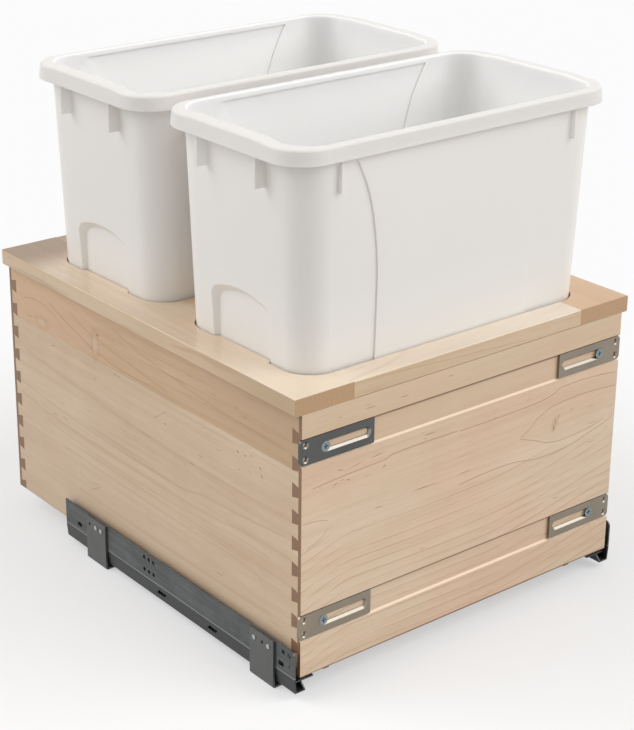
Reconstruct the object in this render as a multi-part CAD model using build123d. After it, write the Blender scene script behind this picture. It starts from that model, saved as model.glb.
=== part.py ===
from build123d import *
import os

os.makedirs("parts", exist_ok=True)

# All lengths are in millimetres. +Z is up, the front of the pull out faces -Y and +X is its right.
# The origin is on the cabinet floor, under the middle of the top frame.

# Box and top frame
BOX_HEIGHT = 254.0
BOARD_THICK = 12.7
FRAME_WIDTH = 406.4
FRAME_DEPTH = 482.6
FRAME_OVERHANG = 7.2
FRAME_THICK = 15.9
FRAME_STILE_WIDTH = 64.3
FRONT_RAIL_WIDTH = 27.4
MIDDLE_RAIL_WIDTH = 40.4
REAR_RAIL_WIDTH = 52.4
OPENING_MARGIN = 31.7
OPENING_RADIUS = 31.0
TONGUE_REACH = 4.7
TONGUE_GAP = 1.4
FRAME_EDGE_RADIUS = 1.2
FLOOR_TO_BOX = 22.0

# Working allowances
OVERRUN = 5.0
GLUE_GAP = 0.05
SLIDING_GAP = 0.05
BALL_GAP = 0.05

# Half blind dovetails
PIN_PITCH = 25.4
TOP_PIN_DROP = 22.6
PIN_ROOT_WIDTH = 14.0
PIN_TIP_WIDTH = 10.0
LAP_THICK = 4.0

# Bottom panel and the cleat behind the runners
PANEL_RECESS = 12.7
PANEL_THICK = 9.5
PANEL_GROOVE_DEPTH = 6.0
CLEAT_DEPTH = 19.0
CLEAT_GAP = 3.5
RUNNER_NOTCH_HEIGHT = 5.5
RUNNER_NOTCH_WIDTH = 34.3

# Grooves and door brackets on the front board
UPPER_GROOVE_DROP = 35.1
LOWER_GROOVE_HEIGHT = 49.8
GROOVE_WIDTH = 24.6
GROOVE_DEPTH = 2.2
GROOVE_BEVEL = 1.8
BRACKET_LENGTH = 82.5
BRACKET_WIDTH = 24.0
BRACKET_THICK = 2.7
BRACKET_CORNER_RADIUS = 4.0
BRACKET_INNER_CORNER_RADIUS = 0.8
LEFT_BRACKET_OVERHANG = 2.3
RIGHT_BRACKET_OVERHANG = -0.5
SLOT_OUTER_MARGIN = 22.6
SLOT_INNER_MARGIN = 3.6
SLOT_WIDTH = 6.4
SLOT_FACE_WIDTH = 10.4
DOOR_HOLE_MARGIN = 6.0
DOOR_HOLE_SPACING = 13.7
DOOR_HOLE_RADIUS = 2.1
DOOR_HOLE_SINK_RADIUS = 3.4
DOOR_HOLE_SINK_DEPTH = 1.3

# Countersunk screws that clamp the door brackets
SCREW_HEAD_RADIUS = 4.9
SCREW_SHANK_RADIUS = 2.1
SCREW_LENGTH = 11.5
SCREW_HEAD_RIM = 0.4
SCREW_TIP_LENGTH = 2.5
RECESS_WIDTH = 1.1
RECESS_SPAN = 5.2
RECESS_DEPTH = 1.4

# Waste bins
BIN_HEIGHT = 452.0
BIN_END_GAP = 1.49
BIN_SIDE_GAP = 1.16
END_DRAFT_SHARE = 0.0376
SIDE_DRAFT_SHARE = 0.0268
BIN_BASE_RADIUS = 24.0
BIN_TOP_RADIUS = 31.0
BIN_FLOOR_RADIUS = 7.0
BIN_WALL = 2.6
RIM_END_REACH = 11.0
RIM_SIDE_REACH = 4.7
RIM_FLARE = 1.6
RIM_RADIUS = 33.0
RIM_SKIRT_DROP = 14.4
RIM_SKIRT_THICK = 2.2
RIM_TOP_THICK = 2.8
RIM_EDGE_RADIUS = 2.6
RIM_MOUTH_RADIUS = 1.8
RIM_RAISE = 1.4
RIM_RAISE_SHARES = ((0.2, 1.0), (0.4, 1.0), (0.48, 0.98), (0.56, 0.5), (0.64, 0.02), (0.72, 0), (0.9, 0),
                    (1.1, 0), (1.3, 0))
RIB_THICK = 2.0
RIB_DROP = 43.0
END_RIB_INSET = 52.0
SIDE_RIB_INSET = 39.7
PANEL_STEP = 1.4
STEP_INSETS = (85.7, 83.7, 79.0, 73.1, 60.7, 46.7)
STEP_DROPS = (144.2, 103.2, 73.2, 50.2, 22.0, 0)
ARCH_WIDTH_SHARE = 0.533
ARCH_CORNER_WIDTH = 4.5
ARCH_SIDE_HEIGHT = 291.0
ARCH_CORNER_HEIGHT = 297.5
ARCH_CROWN_HEIGHT = 304.5
ARCH_KNEE_HEIGHT = 232.0
ARCH_TOP_DEPTH = 6.4
ARCH_BASE_DEPTH = 7.0
ARCH_SLANT_SHARE = 0.93

# Runner lengths and sheet thickness
RUNNER_REAR_SPACE = 104.6
SHEET = 1.5
RUNNER_SIDE_GAP = 6.5

# Cabinet profile section
LEG_TOP_HEIGHT = 27.3
LEG_CORNER_RADIUS = 5.0
CREASE_HEIGHT = -1.0
BAND_LEAN = 1.3
TROUGH_DEPTH = 14.6
TROUGH_WIDTH = 11.2
LIP_HEIGHT = 6.6
LIP_FRONT_BEVEL = 5.0

# Holes in the cabinet profile, as setbacks from its front end and heights from the box base
UPPER_HOLE_SETBACKS = (7.4, 16.0, 62.5, 219.0, 226.8, 234.6)
UPPER_HOLE_HEIGHT = 21.2
UPPER_HOLE_RADIUS = 2.4
LOWER_HOLE_SETBACKS = (62.5, 219.0, 226.8, 234.6)
LOWER_HOLE_HEIGHT = 8.2
LOWER_HOLE_RADIUS = 2.1
SMALL_HOLE_SETBACK = 6.8
SMALL_HOLE_HEIGHT = 10.4
SMALL_HOLE_RADIUS = 1.4
FRONT_SLOT_SETBACK = 19.0
FRONT_SLOT_HEIGHT = 8.0
FRONT_SLOT_LENGTH = 7.5
FRONT_SLOT_WIDTH = 5.0
REAR_OVAL_MARGIN = 26.0
REAR_OVAL_HEIGHT = 8.0
REAR_OVAL_LENGTH = 8.0
REAR_OVAL_WIDTH = 5.0
WINDOW_SETBACKS = (123.0, 206.0)
WINDOW_HEIGHT = -6.6
WINDOW_LENGTH = 13.0
WINDOW_WIDTH = 4.6
WINDOW_SLANT = 2.2

# Middle profile section
TRACK_BALL_RADIUS = 2.8
MIDDLE_SIDE_GAP = 1.2
GUIDE_GAP = 0.6
GUIDE_DEPTH = 4.6
MIDDLE_WALL_INSET = 6.3
MIDDLE_RISE = 10.9
MIDDLE_TRACK_WIDTH = 20.5
MIDDLE_INNER_DEPTH = 12.5
MIDDLE_FRONT_SETBACK = 5.0
MIDDLE_RISE_SETBACK = 14.5

# Drawer profile section
LOAD_BALL_RADIUS = 3.8
DRAWER_PROFILE_INSET = 1.5
DRAWER_PROFILE_WIDTH = 29.8
DRAWER_OUTER_LEG = 14.2
DRAWER_INNER_LEG = 24.2
DRAWER_LIP_WIDTH = 6.8
DRAWER_PROFILE_SETBACK = 12.9
DRAWER_PROFILE_END_GAP = 2.6
HOOK_WIDTH = 8.0
HOOK_LENGTH = 9.0
HOOK_INSET = 16.3
CATCH_WINDOW_SETBACK = 24.0
CATCH_WINDOW_LENGTH = 10.0
CATCH_WINDOW_HEIGHT = 5.4

# Ball cages
LOWER_CAGE_SETBACK = 99.0
LOWER_CAGE_LENGTH = 185.0
LOWER_CAGE_WIDTH = 7.6
LOWER_BALL_SHARES = (0.06, 0.36, 0.64, 0.94)
UPPER_CAGE_SETBACK = 108.0
UPPER_CAGE_LENGTH = 168.0
UPPER_CAGE_WIDTH = 16.0
UPPER_ROW_SPACING = 8.4
UPPER_BALL_SHARES = (0.08, 0.5, 0.92)
CAGE_THICK = 2.6
CAGE_BALL_GAP = 0.1

# Riser brackets on the cabinet floor
RISER_WIDTH = 34.5
FRONT_RISER_SETBACK = 28.0
REAR_RISER_MARGIN = 42.2
RISER_THICK = 2.0
RISER_TOP_HEIGHT = 26.4
RISER_FLANGE_LENGTH = 33.5
RISER_BEND_RADIUS = 2.4
RISER_CORNER_RADIUS = 3.0
FLOOR_HOLE_INSET = 24.5
FLOOR_HOLE_SPACING = 18.0
FLOOR_HOLE_RADIUS = 2.5
FRONT_RIVET_SHARES = (0.2, 0.8)
FRONT_HOLE_SHARE = 0.47
REAR_RIVET_SHARES = (0.22, 0.49)
REAR_HOLE_SHARE = 0.83
RIVET_HEIGHT = 18.6
RIVET_RADIUS = 1.5
RIVET_HEAD_RADIUS = 2.3
RIVET_HEAD_THICK = 0.8
RISER_HOLE_RADIUS = 1.6

# Locking devices under the front of the box
LOCK_GAP = 0.2
LOCK_WIDTH = 43.8
LOCK_LENGTH = 52.0
LOCK_HEIGHT = 12.0
LOCK_CORNER_RADIUS = 4.0
LOCK_SLOT_BOTTOM = 3.6
LOCK_SLOT_HEIGHT = 4.0
LOCK_CHEEK_WIDTH = 16.0
LOCK_SCREW_OFFSETS = (8.0, 44.0)
LOCK_SCREW_INSET = 6.0
LOCK_SCREW_RADIUS = 1.8
LOCK_SCREW_HEAD_RADIUS = 3.6
LOCK_SCREW_HEAD_THICK = 2.0
LOCK_SCREW_LENGTH = 18.0
LEVER_THICK = 3.8
LEVER_PIVOT_INSET = 17.8
LEVER_PIVOT_OFFSET = 44.0
LEVER_PIN_RADIUS = 2.5
LEVER_ARM_WIDTH = 12.0
LEVER_ARM_LENGTH = 32.0
LEVER_NOSE_WIDTH = 7.0
LEVER_NOSE_REACH = 1.2
LEVER_TAB_LENGTH = 16.0
LEVER_TAB_THICK = 3.0
LEVER_TAB_DROP = 12.0

# Box and top frame, worked out from the sizes above
FRONT = -FRAME_DEPTH / 2
BACK = FRAME_DEPTH / 2
BOX_WIDTH = FRAME_WIDTH - 2 * FRAME_OVERHANG
SIDE = BOX_WIDTH / 2
INSIDE = SIDE - BOARD_THICK
BASE = FLOOR_TO_BOX
BOX_TOP = BASE + BOX_HEIGHT
FRAME_TOP = BOX_TOP + FRAME_THICK
STILE_INNER_X = FRAME_WIDTH / 2 - FRAME_STILE_WIDTH
PANEL_BOTTOM = BASE + PANEL_RECESS
PANEL_TOP = PANEL_BOTTOM + PANEL_THICK
GROOVE_HEIGHTS = (BOX_HEIGHT - UPPER_GROOVE_DROP, LOWER_GROOVE_HEIGHT)

# Openings of the top frame and the bins that stand in them
OPENING_LENGTH = FRAME_WIDTH - 2 * OPENING_MARGIN
OPENING_WIDTH = (FRAME_DEPTH - FRONT_RAIL_WIDTH - MIDDLE_RAIL_WIDTH - REAR_RAIL_WIDTH) / 2
FRONT_BIN_MIDDLE = FRONT + FRONT_RAIL_WIDTH + OPENING_WIDTH / 2
BIN_MIDDLES = (FRONT_BIN_MIDDLE, FRONT_BIN_MIDDLE + OPENING_WIDTH + MIDDLE_RAIL_WIDTH)
BIN_SUNK = FRAME_TOP - PANEL_TOP
BIN_BASE_LENGTH = OPENING_LENGTH - 2 * BIN_END_GAP - 2 * END_DRAFT_SHARE * BIN_SUNK
BIN_BASE_WIDTH = OPENING_WIDTH - 2 * (BIN_SIDE_GAP + PANEL_STEP) - 2 * SIDE_DRAFT_SHARE * BIN_SUNK
BIN_TOP_LENGTH = BIN_BASE_LENGTH + 2 * END_DRAFT_SHARE * BIN_HEIGHT
BIN_TOP_WIDTH = BIN_BASE_WIDTH + 2 * SIDE_DRAFT_SHARE * BIN_HEIGHT
RIM_LENGTH = BIN_TOP_LENGTH + 2 * RIM_END_REACH
RIM_WIDTH = BIN_TOP_WIDTH + 2 * RIM_SIDE_REACH

# Runners, worked out from the box that they carry
RUNNER_LENGTH = FRAME_DEPTH - RUNNER_REAR_SPACE
CLEAT_SETBACK = RUNNER_LENGTH + CLEAT_GAP
DRAWER_PROFILE_LENGTH = CLEAT_SETBACK - DRAWER_PROFILE_END_GAP - DRAWER_PROFILE_SETBACK
RISER_SETBACKS = (FRONT_RISER_SETBACK, RUNNER_LENGTH - REAR_RISER_MARGIN - RISER_WIDTH)
LEG_X = SIDE + RUNNER_SIDE_GAP
TROUGH_FLOOR = BASE - TROUGH_DEPTH + SHEET
TROUGH_INNER_X = LEG_X - BAND_LEAN - TROUGH_WIDTH
MIDDLE_WALL_X = INSIDE - MIDDLE_WALL_INSET
MIDDLE_INNER_X = MIDDLE_WALL_X + SHEET - MIDDLE_TRACK_WIDTH
MIDDLE_SHELF_Z = TROUGH_FLOOR + 2 * (TRACK_BALL_RADIUS + BALL_GAP)
MIDDLE_TOP_Z = MIDDLE_SHELF_Z + MIDDLE_RISE
DRAWER_PROFILE_OUTER_X = INSIDE - DRAWER_PROFILE_INSET
DRAWER_PROFILE_INNER_X = DRAWER_PROFILE_OUTER_X - DRAWER_PROFILE_WIDTH
HOOK_X = INSIDE - HOOK_INSET
RUNNER_NOTCH_INNER_X = INSIDE - RUNNER_NOTCH_WIDTH
FLOOR_HOLE_X = LEG_X - FLOOR_HOLE_INSET

# Locking devices, set beside the drawer profiles
LOCK_OUTER_X = DRAWER_PROFILE_INNER_X - LOCK_GAP
LOCK_INNER_X = LOCK_OUTER_X - LOCK_WIDTH
LOCK_CHEEK_X = LOCK_INNER_X + LOCK_CHEEK_WIDTH
LOCK_SCREW_X = LOCK_INNER_X + LOCK_SCREW_INSET
LEVER_PIVOT_X = LOCK_OUTER_X - LEVER_PIVOT_INSET


def block(x0, x1, y0, y1, z0, z1):
    """A box between three pairs of limits."""
    return Pos((x0 + x1) / 2, (y0 + y1) / 2, (z0 + z1) / 2) * Box(x1 - x0, y1 - y0, z1 - z0)


def along_y(points, y0, y1):
    """A solid with an outline of (x, z) points that runs from y0 to y1."""
    outline = make_face(Polyline(*[Vector(x, y0, z) for x, z in points], close=True).edges())
    return extrude(outline, amount=y1 - y0, dir=(0, 1, 0))


def along_x(points, x0, x1):
    """A solid with an outline of (y, z) points that runs from x0 to x1."""
    outline = make_face(Polyline(*[Vector(x0, y, z) for y, z in points], close=True).edges())
    return extrude(outline, amount=x1 - x0, dir=(1, 0, 0))


def rod_x(x0, x1, y, z, radius):
    """A round rod along X."""
    return Pos((x0 + x1) / 2, y, z) * Rot(0, 90, 0) * Cylinder(radius, x1 - x0)


def rod_z(x, y, z0, z1, radius):
    """A round rod along Z."""
    return Pos(x, y, (z0 + z1) / 2) * Cylinder(radius, z1 - z0)


def other_side(shape):
    """The same shape on the left of the pull out."""
    return mirror(shape, about=Plane.YZ)


def rounded_plan(length, width, radius, z):
    """A flat rounded rectangle at height z."""
    return Pos(0, 0, z) * RectangleRounded(length, width, radius)


def tapered_block(low, high):
    """A straight sided solid between two rounded rectangles of (length, width, radius, z)."""
    return loft([rounded_plan(*low), rounded_plan(*high)], ruled=True)


# Box

def pin_heights():
    """Heights of the middles of the dovetail pins, from the top down to the part pin at the base."""
    heights = []
    z = BOX_TOP - TOP_PIN_DROP
    while z + PIN_ROOT_WIDTH / 2 > BASE:
        heights.append(z)
        z -= PIN_PITCH
    return heights


def pin_outline(z, end, growth):
    """A pin seen from the side. The end is -1 at the front and 1 at the back."""
    tip_y = end * (BACK - LAP_THICK + (OVERRUN if growth else 0))
    root_y = end * (BACK - BOARD_THICK - growth)
    slope = (PIN_ROOT_WIDTH - PIN_TIP_WIDTH) / 2 / (BOARD_THICK - LAP_THICK)
    tip_half = PIN_TIP_WIDTH / 2 + growth - (slope * OVERRUN if growth else 0)
    root_half = PIN_ROOT_WIDTH / 2 + growth
    return [(tip_y, z - tip_half), (tip_y, z + tip_half), (root_y, z + root_half), (root_y, z - root_half)]


def panel_room():
    """The space the bottom panel needs in the grooves of the boards."""
    reach_x = INSIDE + PANEL_GROOVE_DEPTH + GLUE_GAP
    reach_y = BACK - BOARD_THICK + PANEL_GROOVE_DEPTH + GLUE_GAP
    return block(-reach_x, reach_x, -reach_y, reach_y, PANEL_BOTTOM, PANEL_TOP)


def side_board():
    """The right hand side, with dovetail tails at both ends and a groove for the bottom panel."""
    end_y = BACK - LAP_THICK - GLUE_GAP
    board = block(INSIDE, SIDE, -end_y, end_y, BASE, BOX_TOP)
    for end in (-1, 1):
        for z in pin_heights():
            board -= along_x(pin_outline(z, end, GLUE_GAP), INSIDE - OVERRUN, SIDE + OVERRUN)
    return board - panel_room()


def end_board(end):
    """A full width front or back board, with the dovetail pins on its ends."""
    faces = sorted((end * BACK, end * (BACK - BOARD_THICK)))
    laps = sorted((end * BACK, end * (BACK - LAP_THICK)))
    board = block(-INSIDE, INSIDE, faces[0], faces[1], BASE, BOX_TOP)
    board += block(-SIDE, SIDE, laps[0], laps[1], BASE, BOX_TOP)
    pins = [along_x(pin_outline(z, end, 0), INSIDE, SIDE) for z in pin_heights()]
    pins = [pin & block(INSIDE, SIDE, faces[0], faces[1], BASE, BOX_TOP) for pin in pins]
    for pin in pins:
        board += pin
        board += other_side(pin)
    return board - panel_room()


def bracket_groove(height):
    """A shallow groove across the front board with a square top edge and a bevelled lower edge."""
    top = BASE + height + GROOVE_WIDTH / 2
    low = BASE + height - GROOVE_WIDTH / 2
    floor_y = FRONT + GROOVE_DEPTH
    outline = [(FRONT - OVERRUN, top), (floor_y, top), (floor_y, low)]
    outline += [(FRONT, low - GROOVE_BEVEL), (FRONT - OVERRUN, low - GROOVE_BEVEL)]
    return along_x(outline, -SIDE - OVERRUN, SIDE + OVERRUN)


def bracket_screw_places():
    """X and Z of the four screws, each at the outer end of the slot in its door bracket."""
    slot_end = SIDE - SLOT_OUTER_MARGIN - SLOT_FACE_WIDTH / 2
    sides = ((-1, slot_end + LEFT_BRACKET_OVERHANG), (1, slot_end + RIGHT_BRACKET_OVERHANG))
    return [(side * x, BASE + height) for side, x in sides for height in GROOVE_HEIGHTS]


def front_board():
    """The front board with its two bracket grooves and the holes of the bracket screws."""
    board = end_board(-1)
    for height in GROOVE_HEIGHTS:
        board -= bracket_groove(height)
    for screw in at_bracket_screws(screw_blank()):
        board -= screw
    return board


def runner_notch(y0, y1):
    """The room that a runner needs to pass under the back of the box."""
    return block(RUNNER_NOTCH_INNER_X, INSIDE, y0, y1, BASE - OVERRUN, BASE + RUNNER_NOTCH_HEIGHT)


def back_board():
    """The back board, notched at both lower corners so it can pass over the runners."""
    board = end_board(1)
    notch = runner_notch(BACK - BOARD_THICK - OVERRUN, BACK + OVERRUN)
    return board - notch - other_side(notch)


def bottom_panel():
    """The panel that carries the bins, held in the grooves of the four boards."""
    reach_x = INSIDE + PANEL_GROOVE_DEPTH
    reach_y = BACK - BOARD_THICK + PANEL_GROOVE_DEPTH
    panel = block(-reach_x, reach_x, -reach_y, reach_y, PANEL_BOTTOM, PANEL_TOP)
    for screw in lock_screws():
        panel -= screw
        panel -= other_side(screw)
    return panel


def hook_cleat():
    """The cross rail behind the runners, with a rebate for the hook of each drawer profile."""
    y0 = FRONT + CLEAT_SETBACK
    cleat = block(-INSIDE, INSIDE, y0, y0 + CLEAT_DEPTH, BASE, PANEL_BOTTOM)
    notch = runner_notch(y0 - OVERRUN, y0 + CLEAT_DEPTH + OVERRUN)
    rebate_half = HOOK_WIDTH / 2 + SLIDING_GAP
    rebate_low = PANEL_BOTTOM - SHEET - SLIDING_GAP
    rebate = block(HOOK_X - rebate_half, HOOK_X + rebate_half, y0 - OVERRUN, y0 + HOOK_LENGTH,
                   rebate_low, PANEL_BOTTOM + OVERRUN)
    for cut in (notch, rebate):
        cleat -= cut
        cleat -= other_side(cut)
    return cleat


# Top frame

def opening_plan():
    """An opening for a bin: a rounded rectangle with a tongue at each end that fills the bin's recess."""
    root_x = OPENING_LENGTH / 2
    tip_x = root_x - TONGUE_REACH
    root_y = arch_half_width(root_x) - TONGUE_GAP
    tip_y = arch_half_width(tip_x) - TONGUE_GAP
    over_y = root_y + OVERRUN * ARCH_SLANT_SHARE
    tongue = make_face(Polyline((root_x + OVERRUN, over_y), (tip_x, tip_y), (tip_x, -tip_y),
                                (root_x + OVERRUN, -over_y), close=True).edges())
    plan = RectangleRounded(OPENING_LENGTH, OPENING_WIDTH, OPENING_RADIUS) - tongue
    return plan - mirror(tongue, about=Plane.YZ)


def bin_openings():
    """The two openings of the top frame that the bins stand in."""
    low = Pos(0, 0, BOX_TOP - OVERRUN)
    height = FRAME_THICK + 2 * OVERRUN
    return [extrude(Pos(0, y, 0) * low * opening_plan(), amount=height) for y in BIN_MIDDLES]


def frame_stile():
    """The right hand stile, cut away where the bins stand."""
    stile = block(STILE_INNER_X, FRAME_WIDTH / 2, FRONT, BACK, BOX_TOP, FRAME_TOP)
    stile = fillet(stile.edges().filter_by(Axis.Y).group_by(Axis.X)[-1], FRAME_EDGE_RADIUS)
    for opening in bin_openings():
        stile -= opening
    return stile


def frame_rail(y0, y1):
    """A rail between the stiles."""
    return block(-STILE_INNER_X, STILE_INNER_X, y0, y1, BOX_TOP, FRAME_TOP)


def frame_rails():
    """The front, middle and rear rails, which end at the openings."""
    front_y = FRONT + FRONT_RAIL_WIDTH
    middle_y = front_y + OPENING_WIDTH
    front = frame_rail(FRONT, front_y)
    middle = frame_rail(middle_y, middle_y + MIDDLE_RAIL_WIDTH)
    rear = frame_rail(BACK - REAR_RAIL_WIDTH, BACK)
    front = fillet(front.edges().filter_by(Axis.X).group_by(Axis.Y)[0], FRAME_EDGE_RADIUS)
    rear = fillet(rear.edges().filter_by(Axis.X).group_by(Axis.Y)[-1], FRAME_EDGE_RADIUS)
    return front, middle, rear


# Bins

def bin_plan(z, inset, extra_width=0):
    """Length, width, corner radius and height of the body at a height above the bin's base."""
    rise = z / BIN_HEIGHT
    length = BIN_BASE_LENGTH + (BIN_TOP_LENGTH - BIN_BASE_LENGTH) * rise - 2 * inset
    width = BIN_BASE_WIDTH + (BIN_TOP_WIDTH - BIN_BASE_WIDTH) * rise - 2 * inset
    radius = BIN_BASE_RADIUS + (BIN_TOP_RADIUS - BIN_BASE_RADIUS) * rise - inset
    return length, width + 2 * extra_width, radius, z


def bin_body(z0, z1, inset, extra_width=0):
    """The tapered body between two heights. The inset makes the inside of it."""
    return tapered_block(bin_plan(z0, inset, extra_width), bin_plan(z1, inset, extra_width))


def step_prism(growth):
    """The outline of the raised middle of the long walls, run through the whole bin."""
    end_x = BIN_TOP_LENGTH / 2 + growth
    right = [(end_x - inset, BIN_HEIGHT - drop) for inset, drop in zip(STEP_INSETS, STEP_DROPS)]
    left = [(-x, z) for x, z in reversed(right)]
    foot = right[0][0]
    reach = BIN_TOP_WIDTH / 2 + OVERRUN
    corners = [Vector(x, -reach, z) for x, z in (left[-1], (-foot, -OVERRUN), (foot, -OVERRUN), right[0])]
    lines = Polyline(*corners).edges()
    lines += Spline(*[Vector(x, -reach, z) for x, z in right]).edges()
    top_corners = [Vector(x, -reach, z) for x, z in (right[-1], left[0])]
    lines += Line(*top_corners).edges()
    lines += Spline(*[Vector(x, -reach, z) for x, z in left]).edges()
    return extrude(make_face(lines), amount=2 * reach, dir=(0, 1, 0))


def arch_half_width(x, growth=0):
    """Half the width of the recess at a distance along the bin. Its sides slant inwards from the wall."""
    wall_x = bin_plan(ARCH_CROWN_HEIGHT, 0)[0] / 2
    spread = growth * (1 + ARCH_SLANT_SHARE)
    return BIN_BASE_WIDTH / 2 * ARCH_WIDTH_SHARE + ARCH_SLANT_SHARE * (x - wall_x) + spread


def arch_outline(x, growth):
    """The arched outline of the recess at a distance along the bin."""
    half = arch_half_width(x, growth)
    rise = half - arch_half_width(bin_plan(ARCH_CROWN_HEIGHT, 0)[0] / 2)
    side_z, corner_z, crown_z = (z + rise for z in (ARCH_SIDE_HEIGHT, ARCH_CORNER_HEIGHT, ARCH_CROWN_HEIGHT))
    corner = half - ARCH_CORNER_WIDTH
    sides = [(-corner, corner_z), (-half, side_z), (-half, -OVERRUN),
             (half, -OVERRUN), (half, side_z), (corner, corner_z)]
    crown = [(corner, corner_z), (0, crown_z), (-corner, corner_z)]
    low_edges = Polyline(*[Vector(x, y, z) for y, z in sides]).edges()
    crown_edge = ThreePointArc(*[Vector(x, y, z) for y, z in crown]).edges()
    return make_face(low_edges + crown_edge)


def arch_recess(growth):
    """The arched recess low on the right hand end wall. Growth makes the wall behind it."""
    base_x = BIN_BASE_LENGTH / 2 - ARCH_BASE_DEPTH - growth
    knee_x = bin_plan(ARCH_CROWN_HEIGHT, 0)[0] / 2 - ARCH_TOP_DEPTH - growth
    near_x = base_x - OVERRUN
    far_x = BIN_TOP_LENGTH / 2 + OVERRUN
    arch = loft([arch_outline(near_x, growth), arch_outline(far_x, growth)], ruled=True)
    top_z = ARCH_CROWN_HEIGHT + far_x - knee_x + OVERRUN
    low_x = base_x - (knee_x - base_x) / ARCH_KNEE_HEIGHT * 2 * OVERRUN
    wide = BIN_BASE_WIDTH / 2
    wedge = along_y([(low_x, -2 * OVERRUN), (far_x + OVERRUN, -2 * OVERRUN), (far_x + OVERRUN, top_z),
                     (knee_x, top_z), (knee_x, ARCH_KNEE_HEIGHT)], -wide, wide)
    return arch & wedge


def bin_ribs():
    """Upright ribs that stiffen the rim from below, two on each wall."""
    z0 = BIN_HEIGHT - RIB_DROP
    z1 = BIN_HEIGHT - RIM_TOP_THICK / 2
    wall_length, wall_width = bin_plan(z0, BIN_WALL / 2)[:2]
    end_x = (RIM_LENGTH - RIM_SKIRT_THICK) / 2
    side_y = (RIM_WIDTH - RIM_SKIRT_THICK) / 2
    half = RIB_THICK / 2
    rib_y = BIN_TOP_WIDTH / 2 - END_RIB_INSET
    rib_x = BIN_TOP_LENGTH / 2 - SIDE_RIB_INSET
    end_rib = block(wall_length / 2, end_x, rib_y - half, rib_y + half, z0, z1)
    side_rib = block(rib_x - half, rib_x + half, wall_width / 2, side_y, z0, z1)
    ribs = []
    for rib in (end_rib, side_rib):
        pair = [rib, mirror(rib, about=Plane.XZ)]
        ribs += pair + [other_side(item) for item in pair]
    return ribs


def rim_top():
    """The upper face of the rim seen from the end: flat, with a raised middle."""
    half = RIM_WIDTH / 2
    right = [(y * half, BIN_HEIGHT + rise * RIM_RAISE) for y, rise in RIM_RAISE_SHARES]
    middle = (0, BIN_HEIGHT + RIM_RAISE)
    return [(-y, z) for y, z in reversed(right)] + [middle] + right


def above_rim():
    """What is cut away above the rim."""
    points = [Vector(-RIM_LENGTH, y, z) for y, z in rim_top()]
    high_z = BIN_HEIGHT + RIM_RAISE + 2 * OVERRUN
    corners = [points[-1], Vector(-RIM_LENGTH, points[-1].Y, high_z),
               Vector(-RIM_LENGTH, points[0].Y, high_z), points[0]]
    outline = Spline(*points).edges() + Polyline(*corners).edges()
    return extrude(make_face(outline), amount=2 * RIM_LENGTH, dir=(1, 0, 0))


def bin_rim():
    """The turned down rim, hollow below."""
    skirt_z = BIN_HEIGHT - RIM_SKIRT_DROP
    low = (RIM_LENGTH + 2 * RIM_FLARE, RIM_WIDTH + 2 * RIM_FLARE, RIM_RADIUS + RIM_FLARE, skirt_z)
    high = (RIM_LENGTH, RIM_WIDTH, RIM_RADIUS, BIN_HEIGHT)
    lift_share = (RIM_RAISE + OVERRUN) / RIM_SKIRT_DROP
    over = [b + (b - a) * lift_share for a, b in zip(low, high)]
    outer = tapered_block(low, over) - above_rim()
    under_z = BIN_HEIGHT - RIM_TOP_THICK
    thin = 2 * RIM_SKIRT_THICK
    under_low = (low[0] - thin, low[1] - thin, low[2] - RIM_SKIRT_THICK, skirt_z)
    under_high = (high[0] - thin, high[1] - thin, high[2] - RIM_SKIRT_THICK, under_z)
    return outer - tapered_block(under_low, under_high)


def waste_bin():
    """One bin, standing on its own base at the origin."""
    outside = bin_body(0, BIN_HEIGHT - RIM_TOP_THICK / 2, 0)
    outside = fillet(outside.edges().group_by(Axis.Z)[0], BIN_FLOOR_RADIUS)
    panel = bin_body(0, BIN_HEIGHT - RIM_TOP_THICK, 0, PANEL_STEP)
    panel = fillet(panel.edges().group_by(Axis.Z)[0], BIN_FLOOR_RADIUS)
    outside += panel & step_prism(0)
    recess = arch_recess(0)
    outside = outside - recess - other_side(recess)
    inside = bin_body(BIN_WALL, BIN_HEIGHT + OVERRUN, BIN_WALL)
    inside = fillet(inside.edges().group_by(Axis.Z)[0], BIN_FLOOR_RADIUS - BIN_WALL)
    room = bin_body(BIN_WALL, BIN_HEIGHT - 2 * RIM_TOP_THICK, BIN_WALL, PANEL_STEP)
    room = fillet(room.edges().group_by(Axis.Z)[0], BIN_FLOOR_RADIUS - BIN_WALL)
    inside += room & step_prism(-BIN_WALL)
    backing = arch_recess(BIN_WALL)
    inside = inside - backing - other_side(backing)
    shell = outside + bin_rim()
    for rib in bin_ribs():
        shell += rib
    shell -= inside
    top = shell.faces().sort_by(Axis.Z)[-1]
    shell = fillet(top.outer_wire().edges(), RIM_EDGE_RADIUS)
    top = shell.faces().sort_by(Axis.Z)[-1]
    return fillet(top.inner_wires()[0].edges(), RIM_MOUTH_RADIUS)


# Door brackets and their screws

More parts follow.
